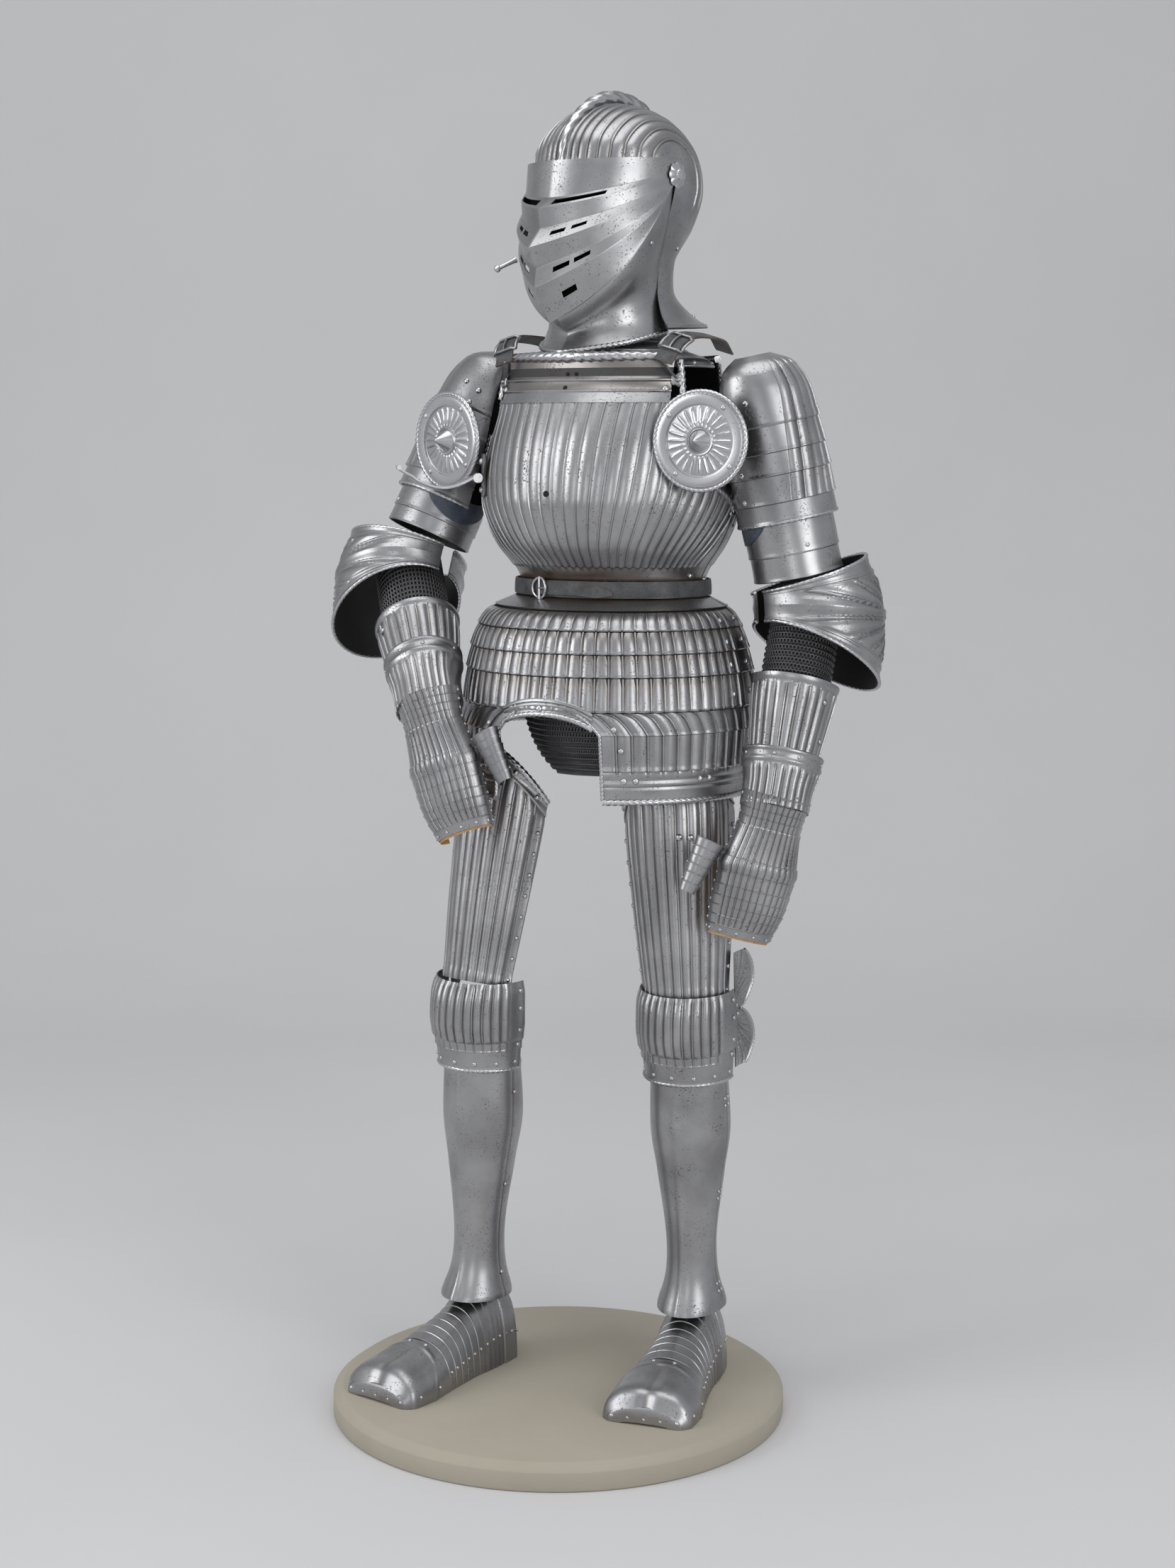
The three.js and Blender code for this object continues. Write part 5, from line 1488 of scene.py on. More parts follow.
    def culet(self, shop: Shop, trim: Trim) -> None:
        """Make the fluted plates behind."""
        flutes, number = Flutes(1.5, 0.7, 0.9), 28
        count = flutes.places(0.0, number)
        edges = [(1121 - z) / 186 for z in (1121, 1108, 1083, 1053, 1023, 978, 935)]
        vs, heights = lames(edges, 1.6, 0.7, 4)
        fade = ramp(vs, edges[1], edges[1] + 0.02)
        relief = heights[:, None] + flutes.heights(count)[None, :] * fade[:, None]
        form = Form()
        plate = Plate(self.rings.wrapped(self.side_seam + 1, 359 - self.side_seam, 1121.0, 935.0),
                      count / number, vs,
                      relief)
        plate.add_to(form, TRUNK_PLACE)
        shop.piece("culet", form, shop.finishes.steel, ["culet"])
        line, _ = plate.spot(np.linspace(0.005, 0.995, 60), np.full(60, 1.0), 0.4)
        trim.rope(TRUNK_PLACE, line, 3.8, 0.8, meet=True)
        for v in (0.2, 0.34, 0.5, 0.66, 0.86):
            trim.rivet(TRUNK_PLACE, plate.spot([0.02, 0.98], [v, v], 1.2), 4.2)

    def tasset(self, shop: Shop, trim: Trim, name: str, mirror: bool, swing: float) -> None:
        """Make one hip plate: two fluted lames, a ridged band and a roped foot."""
        top = self.edges[-1]
        rows = []
        for z, side, front, back in self.rings.rows:
            push = 1 + swing * max(0.0, (top - z) / (top - self.foot))
            rows.append((z, side * push, front * push, back))
        rings = Rings(tuple(rows))
        middle = self.arch_mid * (-1 if mirror else 1)
        place = Place(TRUNK_PLACE.matrix, mirror)

        def inner(v: Array) -> Array:
            reach = mix(34.0, self.arch_side, np.minimum(v * 4, 1) ** 0.5) + middle
            return np.degrees(np.arcsin(reach / rings.read(1, mix(top, self.foot, v))))

        flutes, number = Flutes(1.6, 0.7, 0.9), 13
        count = flutes.places(0.0, number)
        at = lambda z: (top - z) / (top - self.foot)
        vs, heights = lames([0.0, at(948), at(900), 1.0], 1.6, 0.6, 5)
        band_rows = np.array([at(z) for z in (898, 892, 890, 888, 886, 882, 880, 878, 876, 872, 866)])
        band_heights = [1.6, 1.6, 0.2, 0.2, 1.6, 1.4, -0.2, 0.0, 1.2, 0.6, 0.2]
        keep = vs <= at(900)
        vs = np.concatenate([vs[keep], band_rows, [1.0]])
        heights = np.concatenate([heights[keep], np.array(band_heights), [0.6]])
        fade = np.where(vs < at(899), 1.0, 0.0) * ramp(at(899.5) - vs, -0.01, 0.0)
        start = ramp(count, 0.55, 0.75) * ramp(number - count, 0.5, 0.8)
        relief = heights[:, None] + (flutes.heights(count) * start)[None, :] * fade[:, None]
        form = Form()
        plate = Plate(rings.wrapped(inner, self.side_seam, top, self.foot), count / number, vs, relief)
        plate.add_to(form, place)
        shop.piece(name, form, shop.finishes.steel, [name])
        line, _ = plate.spot(np.linspace(0, 1, 50), np.full(50, 1.0), 1.0)
        trim.rope(place, line, 4.4, 0.8)
        line, _ = plate.spot(np.full(50, 0.0), np.linspace(0.02, 0.98, 50), 0.6)
        trim.rope(place, line, 2.8, 0.8)
        spots = [(0.09, 0.18), (0.1, 0.42), (0.11, 0.76), (0.17, 0.76), (0.52, 0.76), (0.58, 0.76),
                 (0.9, 0.76),
                 (0.9, 0.4), (0.9, 0.14)]
        trim.rivet(place, plate.spot(*np.array(spots).T, 1.6), 4.4)


@dataclass
class Mail:
    """Sheets of mail: a thin near-black sheet of painted shadow with interlocking rings over it."""

    pitch: float = 5.0
    lean: float = 0.5

    def sheet(self, shop: Shop, name: str, surface: Surface, place: Place, size: tuple,
              replaces: Sequence[str],
              rests_on: Sequence[str], wrap: bool = False, held: str = "hung") -> None:
        """Make a sheet of mail over a surface.

        Args:
            shop: what makes the pieces.
            name: the piece's name.
            surface: its outer face, for u and v from 0 to 1.
            place: the surface's frame.
            size: width and length of the sheet, in millimetres.
            replaces: the frame's nodes that it stands for.
            rests_on: what the sheet hangs from or lies on; not used.
            wrap: whether its sides meet.
            held: how the sheet is held; not used.
        """
        across, along = max(8, int(size[0] / self.pitch)), max(6, int(size[1] / (self.pitch * 0.82)))
        # The plate is a near-black sheet of painted shadow that shows between the links.
        plate = Plate(surface, np.linspace(0, 1, across // 2 + 1), np.linspace(0, 1, along // 2 + 1), -1.2,
                      0.9,
                      wrap=wrap)
        form = Form()
        plate.add_to(form, place)
        rows = np.arange(along)[:, None]
        u = (np.arange(across)[None, :] + 0.25 + 0.5 * (rows % 2)) / across
        v = (rows + 0.5 + 0 * u) / along
        points, normal = plate.spot(np.clip(u, 0, 1).ravel(), v.ravel(), -0.2)
        tangent = unit(surface(np.clip(u, 0, 1).ravel(), np.minimum(v.ravel() + 0.01, 1)) - surface(
            np.clip(u, 0, 1).ravel(), np.maximum(v.ravel() - 0.01, 0)))
        lean = self.lean * np.where((rows + 0 * u) % 2 == 0, 1.0, -1.0).ravel()[:, None]
        facing = unit(normal + tangent * lean)
        seeds = seed_mesh(name + "_links", place.put(points),
                          size=np.full(len(points), self.pitch * 0.62 * MM),
                          facing=place.turn(facing))
        sheet = shop.piece(name, form, shop.finishes.shadow, replaces, Slot.MAIL)
        links = shop.growths.link.grow(name + "_links", seeds, shop.finishes.mail)
        shop.hand_in(links, (), Slot.MAIL, Body.SUIT)

    def build(self, shop: Shop) -> None:
        """Make the skirt and the armpit sheets."""
        rings = Rings(((1040, 120, 168, 100), (1000, 118, 158, 100), (950, 112, 132, 100),
                       (884, 100, 98, 100)))
        reach = lambda v: mix(62.0, 18.0, v**3)
        surface = rings.wrapped(lambda v: -reach(v), reach, 1040.0, 884.0)
        self.sheet(shop, "mail_skirt", surface, TRUNK_PLACE, (232.0, 166.0), ["mail_skirt"],
                   ["fauld_lame_3"])
        inset = Rings(tuple((z, side - 12, front - 12, back - 12) for z, side, front, back in TRUNK.rows))
        for name, mirror in (("armpit_mail_left", False), ("armpit_mail_right", True)):
            surface = inset.wrapped(66.0, 112.0, 1372.0, 1232.0)
            self.sheet(shop, name, surface, Place(TRUNK_PLACE.matrix, mirror), (126.0, 142.0), [name],
                       ["breastplate"])


# ------------------------------------------------------------------ helmet
@dataclass
class Helmet:
    """The close helmet: fluted skull, bellows visor on its pivots, and bevor."""

    turn: float = -9.0
    shift: float = -4.0
    pivot_height: float = 1678.0
    visor_skin: float = 112.0
    skull_flutes: int = 9
    flute_end: float = 0.67
    skull: Hoops = Hoops((
        (105, 6, 1690, -104, 1691, 2), (105, 7, 1693, -90, 1732, 2), (105, 8, 1695, -46, 1766, 4),
        (105, 11, 1696, 6, 1777, 8), (106, 15, 1692, 66, 1765, 8), (107, 18, 1685, 121, 1723, 6),
        (107, 18, 1670, 141, 1668, 3), (98, 16, 1630, 122, 1609, 1), (84, 11, 1580, 84, 1560, 0),
        (81, 9, 1535, 88, 1530, 0), (91, 8, 1500, 128, 1505, 3), (106, 8, 1480, 168, 1487, 8)), 96.0,
        comb=True)
    visor: Hoops = Hoops((
        (112, 12, 1701, -115, 1695, 3), (112, 14, 1690, -122, 1648, 5), (112, 12, 1684, -132, 1637, 20),
        (112, 8, 1677, -128, 1615, 22), (112, 0, 1668, -138, 1597, 38), (112, -8, 1660, -128, 1574, 34),
        (112, -16, 1652, -129, 1555, 40), (111, -26, 1640, -112, 1510, 30)), 87.0, crisp=True)
    bevor: Hoops = Hoops((
        (108, -10, 1668, -98, 1534, 26), (106, -12, 1645, -98, 1514, 26), (97, -8, 1605, -84, 1496, 22),
        (83, -6, 1560, -82, 1482, 12), (79, -5, 1515, -86, 1468, 10), (88, -5, 1472, -96, 1450, 12)), 100.0)
    breaths: tuple = (
        (0.535, 0.725, 1.25, 1.75), (0.275, 0.465, 1.25, 1.75),
        (0.555, 0.605, 3.35, 3.6), (0.625, 0.675, 3.35, 3.6), (0.395, 0.445, 3.35, 3.6),
        (0.325, 0.375, 3.35, 3.6),
        (0.56, 0.615, 5.3, 5.6), (0.63, 0.685, 5.3, 5.6), (0.385, 0.44, 5.3, 5.6), (0.315, 0.37, 5.3, 5.6),
        (0.575, 0.625, 6.4, 6.58), (0.375, 0.425, 6.4, 6.58))

    def build(self, shop: Shop) -> None:
        """Make the pieces."""
        place = Place.at(TRUNK_PLACE.matrix[0, 3] + self.shift, TRUNK_PLACE.matrix[1, 3], 0.0, self.turn)
        self.build_skull(shop, place)
        self.build_visor(shop, place)
        self.build_bevor(shop, place)
        self.build_pivots(shop, place)

    def build_skull(self, shop: Shop, place: Place) -> None:
        """Make the skull with its flutes and roped comb."""
        flutes = Flutes(1.3, 0.7, 0.5)
        count = flutes.places(0.0, self.skull_flutes)
        half = 0.5 + 0.5 * (0.1 + 0.8 * count / self.skull_flutes)
        us = joined(1 - half, np.linspace(0.45, 0.55, 9), half, np.linspace(0.95, 1, 4),
                    np.linspace(0, 0.05, 4))
        vs = np.linspace(0, 1, 120)
        counted = (np.abs(2 * us - 1) - 0.1) / 0.8 * self.skull_flutes
        ribs = flutes.heights(counted) * ramp(counted, 0.0, 0.5) * ramp(self.skull_flutes - counted, 0.0,
                                                                        0.6)
        fade = ramp(self.flute_end - vs[:, None], 0.0, 0.1) * ramp(vs, 0.0, 0.02)[:, None]
        edge = np.interp(vs, [0, 0.97, 0.985, 1.0], [0, 0, 1.2, 0.4])[:, None]
        form, trim = Form(), Trim()
        plate = Plate(self.skull.surface, us, vs, ribs[None, :] * fade + edge)
        plate.add_to(form, place)
        shop.piece("skull", form, shop.finishes.steel, ["skull"])
        share = np.linspace(0.008, 0.6, 90)
        line, _ = plate.spot(np.full(90, 0.5), share, 0.0)
        radius = np.interp(share, [0, 0.1, 0.3, 0.45, 0.6], [5.0, 7.5, 12.5, 10.5, 3.5])
        trim.rope(place, line, radius, 0.62)
        trim.rivet(place, plate.spot([0.78, 0.22, 0.78, 0.22, 0.9, 0.1],
                                     [0.93, 0.93, 0.985, 0.985, 0.7, 0.7], 0.4), 3.6)
        shop.trim("skull", trim)

    def build_visor(self, shop: Shop, place: Place) -> None:
        """Make the visor with its sights, breaths, keel and lifting peg."""
        steps = np.arange(8.0)
        near = np.concatenate([[s - 0.04, s + 0.04] for s in steps[1:-1]])
        vs = joined(np.linspace(0, 7, 43), near, steps) / 7
        us = joined(np.linspace(0, 1, 81), 0.5 + np.array([-0.008, 0.008]))
        rise = np.interp(vs * 7, [0, 0.08, 0.16, 6.85, 6.93, 7.0], [0.2, 1.0, 0.0, 0.0, 1.2, 0.3])
        holes = [(a, b, c / 7, d / 7) for a, b, c, d in self.breaths]
        form = Form()
        plate = Plate(self.visor.surface, us, vs, np.repeat(rise[:, None], len(us), axis=1), holes=holes)
        plate.add_to(form, place)
        shop.piece("visor", form, shop.finishes.steel, ["visor"], body=Body.VISOR)
        root, tip = np.array([-60.0, -126, 1569]), np.array([-74.0, -152, 1555])
        share = np.array([0, 0.15, 0.5, 0.78, 0.84, 0.93, 1.0])
        line = root + (tip - root) * share[:, None]
        form = Form()
        tube(form, place, line, np.array([4.4, 3.4, 2.9, 3.0, 4.8, 5.0, 3.0]), 14)
        shop.piece("visor_peg", form, shop.finishes.edge_steel, ["visor_peg"], body=Body.VISOR)

    def build_bevor(self, shop: Shop, place: Place) -> None:
        """Make the bevor with its roped foot."""
        vs = joined(np.linspace(0, 1, 50), [0.97, 0.985])
        us = joined(np.linspace(0, 1, 71), [0.494, 0.506])
        rise = np.interp(vs, [0, 0.02, 0.05, 0.95, 1.0], [0.2, 0.9, 0, 0, 0.8])
        form, trim = Form(), Trim()
        plate = Plate(self.bevor.surface, us, vs, np.repeat(rise[:, None], len(us), axis=1))
        plate.add_to(form, place)
        shop.piece("bevor", form, shop.finishes.steel, ["bevor"])
        line, _ = plate.spot(np.linspace(0, 1, 80), np.full(80, 1.0), 0.6)
        trim.rope(place, line, 3.8, 0.8, meet=True)
        trim.rivet(place, plate.spot([0.86, 0.14], [0.3, 0.3], 0.4), 3.6)
        shop.trim("bevor", trim)

    def build_pivots(self, shop: Shop, place: Place) -> None:
        """Make the scalloped pivots."""
        for name, side in (("pivot_left", 1), ("pivot_right", -1)):
            point = np.array([side * (self.visor_skin + 0.4), 0.0, self.pivot_height])
            face = place.within(facing_place(point, np.array([side * 1.0, 0.0, 0.0])))
            form = Form()
            turned(form, face, [(17.0, -0.5), (17.5, 1.0), (16.0, 2.0), (9.0, 4.6), (7.5, 4.9), (6.5, 6.4),
                                (1.0, 7.4)],
                   64, 8, 0.14, 0.7)
            shop.piece(name, form, shop.finishes.edge_steel, [name])


# ------------------------------------------------------------------ arms
@dataclass
class Arm:
    """One arm: shoulder lames, upper cannon, couter, lower cannon, gauntlet and thumb."""

    side: str
    mirror: bool
    shoulder: tuple
    elbow: tuple
    wrist: tuple
    tip: tuple
    upper_facing: tuple
    fore_facing: tuple
    hand_facing: tuple
    rerebrace_foot: float
    couter_top: float
    cuff_band: float

    PAULDRON = Rings(((-44, 24, 30, 30, -6), (-34, 42, 48, 48, -5), (-12, 56, 62, 62, -3), (40, 64, 66, 68),
                      (110, 68, 64, 68), (175, 66, 62, 64)), down=True)
    REREBRACE = Rings(((160, 60, 59, 60), (176, 61, 59, 60), (236, 59, 58, 59)), down=True)
    COUTER = Rings(((-84, 74, 72, 76, 4), (-40, 84, 78, 92, 12), (20, 86, 80, 102, 16),
                    (100, 80, 76, 84, 14)),
                   down=True)
    CUFF = Rings(((76, 60, 58, 58), (130, 54, 50, 50), (205, 45, 41, 41), (260, 43, 39, 38)), down=True)
    FLARE = Rings(((0, 53, 49, 50), (14, 52.5, 48, 49), (40, 47, 44, 43), (60, 46, 42, 40),
                   (72, 46, 41, 38)),
                  down=True)
    HAND = Rings(((-14, 46, 40, 34, 0, 0), (20, 43, 33, 28, 0, 0), (90, 53, 30, 28, 0, 2),
                  (140, 51, 30, 26, 0, 6),
                  (178, 44, 24, 20, 0, 14)), down=True)
    THUMB = Rings(((0, 20, 15, 12), (40, 15, 13, 10), (74, 11, 10, 8)), down=True)

    def build(self, shop: Shop, mail: Mail) -> None:
        """Make the pieces."""
        upper = Place.limb(self.shoulder, self.elbow, self.upper_facing, self.mirror)
        fore = Place.limb(self.elbow, self.wrist, self.fore_facing, self.mirror)
        hand = Place.limb(self.wrist, self.tip, self.hand_facing, self.mirror)
        trim = Trim()
        self.pauldron(shop, trim, upper)
        self.rerebrace(shop, trim, upper)
        self.couter(shop, trim)
        self.cuff(shop, trim, fore)
        self.gauntlet(shop, trim, hand)
        self.thumb(shop, trim, hand)
        tube_rings = Rings(((-30, 46, 46, 46), (90, 46, 46, 46)), down=True)
        mail.sheet(shop, f"elbow_mail_{self.side}", tube_rings.wrapped(0.0, 360.0, -30.0, 90.0), fore,
                   (289.0, 120.0),
                   [f"elbow_mail_{self.side}"], [f"rerebrace_{self.side}"], True, "gathered")
        shop.trim(f"arm_{self.side}", trim)

    def pauldron(self, shop: Shop, trim: Trim, place: Place) -> None:
        """Make the shoulder lames, fluted over the outer side."""
        top, foot = -44.0, 175.0
        surface = self.PAULDRON.wrapped(lambda v: mix(-30.0, -62.0, v), lambda v: mix(215.0, 205.0, v),
                                        top, foot)
        edges = [(d - top) / (foot - top) for d in (-44, 49, 84, 114, 150, 175)]
        vs, heights = lames(edges, 1.8, 0.6, 5)
        extra = np.linspace(0.04, 0.36, 14)
        vs_all = joined(vs, extra)
        heights = np.interp(vs_all, vs, heights)
        flutes, number = Flutes(2.0, 0.8, 1.0), 7
        fluted = flutes.places(0.0, number)
        low_u, high_u = 0.34, 0.8
        us = joined(np.linspace(0, low_u, 16), mix(low_u, high_u, fluted / number),
                    np.linspace(high_u, 1, 10))
        counted = (us - low_u) / (high_u - low_u) * number
        ribs = np.where((counted > 0.05) & (counted < number - 0.05), flutes.heights(counted), 0.0)
        fade = ramp(vs_all, 0.03, 0.12) * np.where(vs_all < edges[4] - 0.002, 1.0, 0.0)
        border = np.interp(us, [0, 0.015, 0.03, 0.97, 0.985, 1], [0.2, 1.2, 0, 0, 1.2, 0.2])
        relief = heights[:, None] + ribs[None, :] * fade[:, None] + border[None, :]
        form = Form()
        plate = Plate(surface, us, vs_all, relief)
        plate.add_to(form, place)
        shop.piece(f"pauldron_{self.side}", form, shop.finishes.steel, [f"pauldron_{self.side}"])
        for edge in edges[1:5]:
            trim.rivet(place, plate.spot([0.12, 0.9], [edge - 0.035] * 2, 1.4), 4.4)
        trim.rivet(place, plate.spot([0.09, 0.17, 0.85], [0.3, 0.27, 0.3], 1.0), 4.4)
        line, _ = plate.spot(np.linspace(0, 1, 60), np.full(60, 1.0), 0.6)
        trim.rope(place, line, 2.6, 0.5)

    def rerebrace(self, shop: Shop, trim: Trim, place: Place) -> None:
        """Make the smooth rings of the upper arm and the leather edge at the armpit."""
        vs, heights = lames([0.0, 0.58, 1.0], 1.4, 0.5, 4, lower_over=False)
        form = Form()
        plate = Plate(self.REREBRACE.wrapped(0.0, 360.0, 176.0, self.rerebrace_foot + 16),
                      np.linspace(0, 1, 73), vs,
                      heights[:, None], wrap=True)
        plate.add_to(form, place)
        shop.piece(f"rerebrace_{self.side}", form, shop.finishes.steel, [f"rerebrace_{self.side}"])
        trim.rivet(place, plate.spot([0.12, 0.62], [0.45, 0.45], 0.8), 3.4)
        flap = Form()
        surface = self.REREBRACE.wrapped(-100.0, -8.0, lambda u: mix(160.0, 168.0, np.sin(np.pi * u)),
                                         lambda u: mix(176.0, 200.0, np.sin(np.pi * u) ** 0.7))
        vs = np.linspace(0, 1, 8)
        leather = Plate(surface, np.linspace(0, 1, 24), vs, 2.6, LEATHER)
        leather.add_to(flap, place)
        piece = shop.piece(f"arm_flap_{self.side}", flap, shop.finishes.blue_hide, (), Slot.LEATHER)

    def couter(self, shop: Shop, trim: Trim) -> None:
        """Make the great elbow plate with its fan of flutes."""
        shoulder, elbow, wrist = (np.array(p, float) for p in (self.shoulder, self.elbow, self.wrist))
        bend = elbow + unit(shoulder - elbow) - unit(wrist - elbow)
        place = Place.limb(bend, elbow, self.fore_facing, self.mirror, origin=elbow)
        dip = lambda u: 0.5 - 0.5 * np.cos(2 * np.pi * u)
        surface = self.COUTER.wrapped(-60.0, 285.0, lambda u: mix(-30.0, self.couter_top, dip(u)),
                                      lambda u: mix(8.0, 98.0, dip(u)))
        us, vs = np.linspace(0, 1, 241), joined(np.linspace(0, 1, 78),
                                                [0.1, 0.11, 0.13, 0.14, 0.86, 0.87, 0.89, 0.9])
        u, v = np.meshgrid(us, vs)
        width, middle = 500.0, 0.5
        tall = mix(38.0, 98.0 - self.couter_top, dip(u))
        x, y = (u - middle) * width, (v - 0.47) * tall
        polar = np.arctan2(y, np.abs(x) + 1e-6)
        number = 15
        flutes = Flutes(2.2, 0.9, 1.4)
        ribs = flutes.heights(polar / np.pi * number + 0.5)
        far = np.hypot(x, y)
        fade = ramp(far, 16, 34) * ramp(v, 0.15, 0.19) * ramp(0.85 - v, 0,
                                                              0.04) * ramp(0.41 - np.abs(u - 0.5), 0, 0.05)
        ridge = 5.5 * np.clip(1 - np.abs(y) / 13.0, 0, 1) ** 1.3 * ramp(far, 0,
                30) * ramp(0.5 - np.abs(u - 0.5), 0, 0.2)
        band = np.interp(v, [0, 0.03, 0.06, 0.1, 0.11, 0.13, 0.14, 0.86, 0.87, 0.89, 0.9, 0.94, 0.97, 1],
                         [1.6, 1.6, 0, 0, 1.2, 1.2, 0, 0, 1.2, 1.2, 0, 0, 1.6, 1.6])
        form = Form()
        plate = Plate(surface, us, vs, (ribs + 0.6) * fade + ridge * (1 - 0.5 * fade) + band)
        plate.add_to(form, place)
        shop.piece(f"couter_{self.side}", form, shop.finishes.steel, [f"couter_{self.side}"])
        trim.rivet(place, plate.spot([0.44, 0.47], [0.44, 0.45], 3.0), 4.8)
        for edge in (0.0, 1.0):
            line, _ = plate.spot(np.linspace(0.002, 0.998, 120), np.full(120, edge), 0.8)
            trim.rope(place, line, 2.6, 0.5, meet=True)

    def cuff(self, shop: Shop, trim: Trim, place: Place) -> None:
        """Make the fluted lower cannon and the flared cuff of the gauntlet over it."""
        length = math.dist(self.elbow, self.wrist) + 2
        flutes, number = Flutes(1.7, 0.7, 0.9), 22
        count = flutes.places(0.0, number)[:-1]
        count = np.append(count, float(number))
        vs = joined(np.linspace(0.0, 0.08, 8), np.linspace(0.08, 1, 16))
        rim = np.interp(vs, [0, 0.02, 0.04, 0.06], [1.4, 1.8, 1.2, 0.0])
        fade = ramp(vs, 0.06, 0.09)
        form = Form()
        plate = Plate(self.CUFF.wrapped(0.0, 360.0, 92.0, length), count / number, vs,
                      rim[:, None] + flutes.heights(count)[None, :] * fade[:, None], wrap=True)
        plate.add_to(form, place)
        trim.rivet(place, plate.spot([0.12, 0.16, 0.62, 0.66], [0.16, 0.45, 0.16, 0.45], 1.6), 3.6)
        start = self.cuff_band
        table = tuple((start + row[0] * (length - start) / 72,) + tuple(row[1:]) for row in self.FLARE.rows)
        flare = Rings(table, down=True)
        flutes = Flutes(1.5, 0.7, 0.8)
        number = 26
        count = np.append(flutes.places(0.0, number)[:-1], float(number))
        vs = joined([0, 0.02, 0.05, 0.07, 0.1, 0.15, 0.19, 0.21, 0.24, 0.27], np.linspace(0.3, 1, 14))
        rim = np.interp(vs, [0, 0.02, 0.05, 0.07, 0.1, 0.15, 0.19, 0.21, 0.24, 0.27],
                        [0.6, 1.9, 1.9, 0.7, 0.2, 0.2, 0.7, 1.7, 1.7, 0.2])
        back = ramp(0.3 - np.abs(count / number - 0.12), 0, 0.05) + ramp(count / number, 0.82, 0.86)
        ribs = flutes.heights(count)[None, :] * ramp(vs, 0.3, 0.36)[:, None] * np.clip(back, 0, 1)[None, :]
        cuff = Plate(flare.wrapped(0.0, 360.0, start, length), count / number, vs, rim[:, None] + ribs,
                     wrap=True)
        cuff.add_to(form, place)
        trim.rivet(place, cuff.spot([0.05, 0.2, 0.35, 0.5, 0.65, 0.8, 0.95], [0.13] * 7, 0.6), 2.6)
        shop.piece(f"cuff_{self.side}", form, shop.finishes.steel, [f"cuff_{self.side}"])

    def gauntlet(self, shop: Shop, trim: Trim, place: Place) -> None:
        """Make the mitten of narrow fluted lames with its riveted leather edge."""
        downs = (-16, -5, 6, 17, 28, 74, 94, 112, 127, 140, 153, 166, 178)
        vs, heights = lames([(d + 16) / 194 for d in downs], 1.0, 0.35, 3, lower_over=True)
        knuckle = 2.4 * np.exp(-((vs * 194 - 16 - 84) / 8.0) ** 2)
        flutes, number = Flutes(1.0, 0.5, 0.5), 20
        count = flutes.places(0.0, number)
        us = count / number
        ribs = flutes.heights(count) * ramp(0.3 - np.abs(us - 0.5), 0, 0.03)
        border = np.interp(us, [0, 0.02, 0.05, 0.95, 0.98, 1], [0.4, 1.0, 0, 0, 1.0, 0.4])
        fade = np.interp(vs, [0, 0.93, 0.95, 1], [1, 1, 0, 0])
        relief = (heights + knuckle)[:, None] + ribs[None, :] * fade[:, None] + border[None, :]
        form = Form()
        plate = Plate(self.HAND.wrapped(-112.0, 112.0, -16.0, 178.0), us, vs, relief)
        plate.add_to(form, place)
        shop.piece(f"gauntlet_{self.side}", form, shop.finishes.steel, [f"gauntlet_{self.side}"])
        for edge in (0.035, 0.965):
            trim.rivet(place, plate.spot([edge] * 16, np.linspace(0.03, 0.97, 16), 1.0), 2.7)
        trim.rivet(place, plate.spot(np.linspace(0.15, 0.85, 6), [0.975] * 6, 0.9), 2.4)
        lining = Form()
        inside = self.HAND.wrapped(-122.0, 122.0, 4.0, 181.0)
        Plate(inside, np.linspace(0, 1, 40), np.linspace(0, 1, 40), -2.2, 1.6).add_to(lining, place)
        piece = shop.piece(f"glove_{self.side}", lining, shop.finishes.tan, (), Slot.LEATHER)

    def thumb(self, shop: Shop, trim: Trim, hand: Place) -> None:
        """Make the thumb's scales."""
        tilt = np.array(Matrix.Translation((-74, 4, -62)) @ Matrix.Rotation(math.radians(12), 4, "Y"))
        place = Place(hand.matrix,
                      False).within(Place(tilt)) if not self.mirror else hand.within(Place(tilt))
        vs, heights = lames([0.0, 0.16, 0.32, 0.48, 0.64, 0.82, 1.0], 1.2, 0.4, 2, lower_over=True)
        form = Form()
        plate = Plate(self.THUMB.wrapped(-120.0, 120.0, 0.0, 74.0), np.linspace(0, 1, 25), vs,
                      heights[:, None])
        plate.add_to(form, place)
        shop.piece(f"thumb_{self.side}", form, shop.finishes.steel, [f"thumb_{self.side}"])
        trim.rivet(place, plate.spot([0.08, 0.92] * 3, [0.2, 0.2, 0.5, 0.5, 0.8, 0.8], 0.8), 2.2)


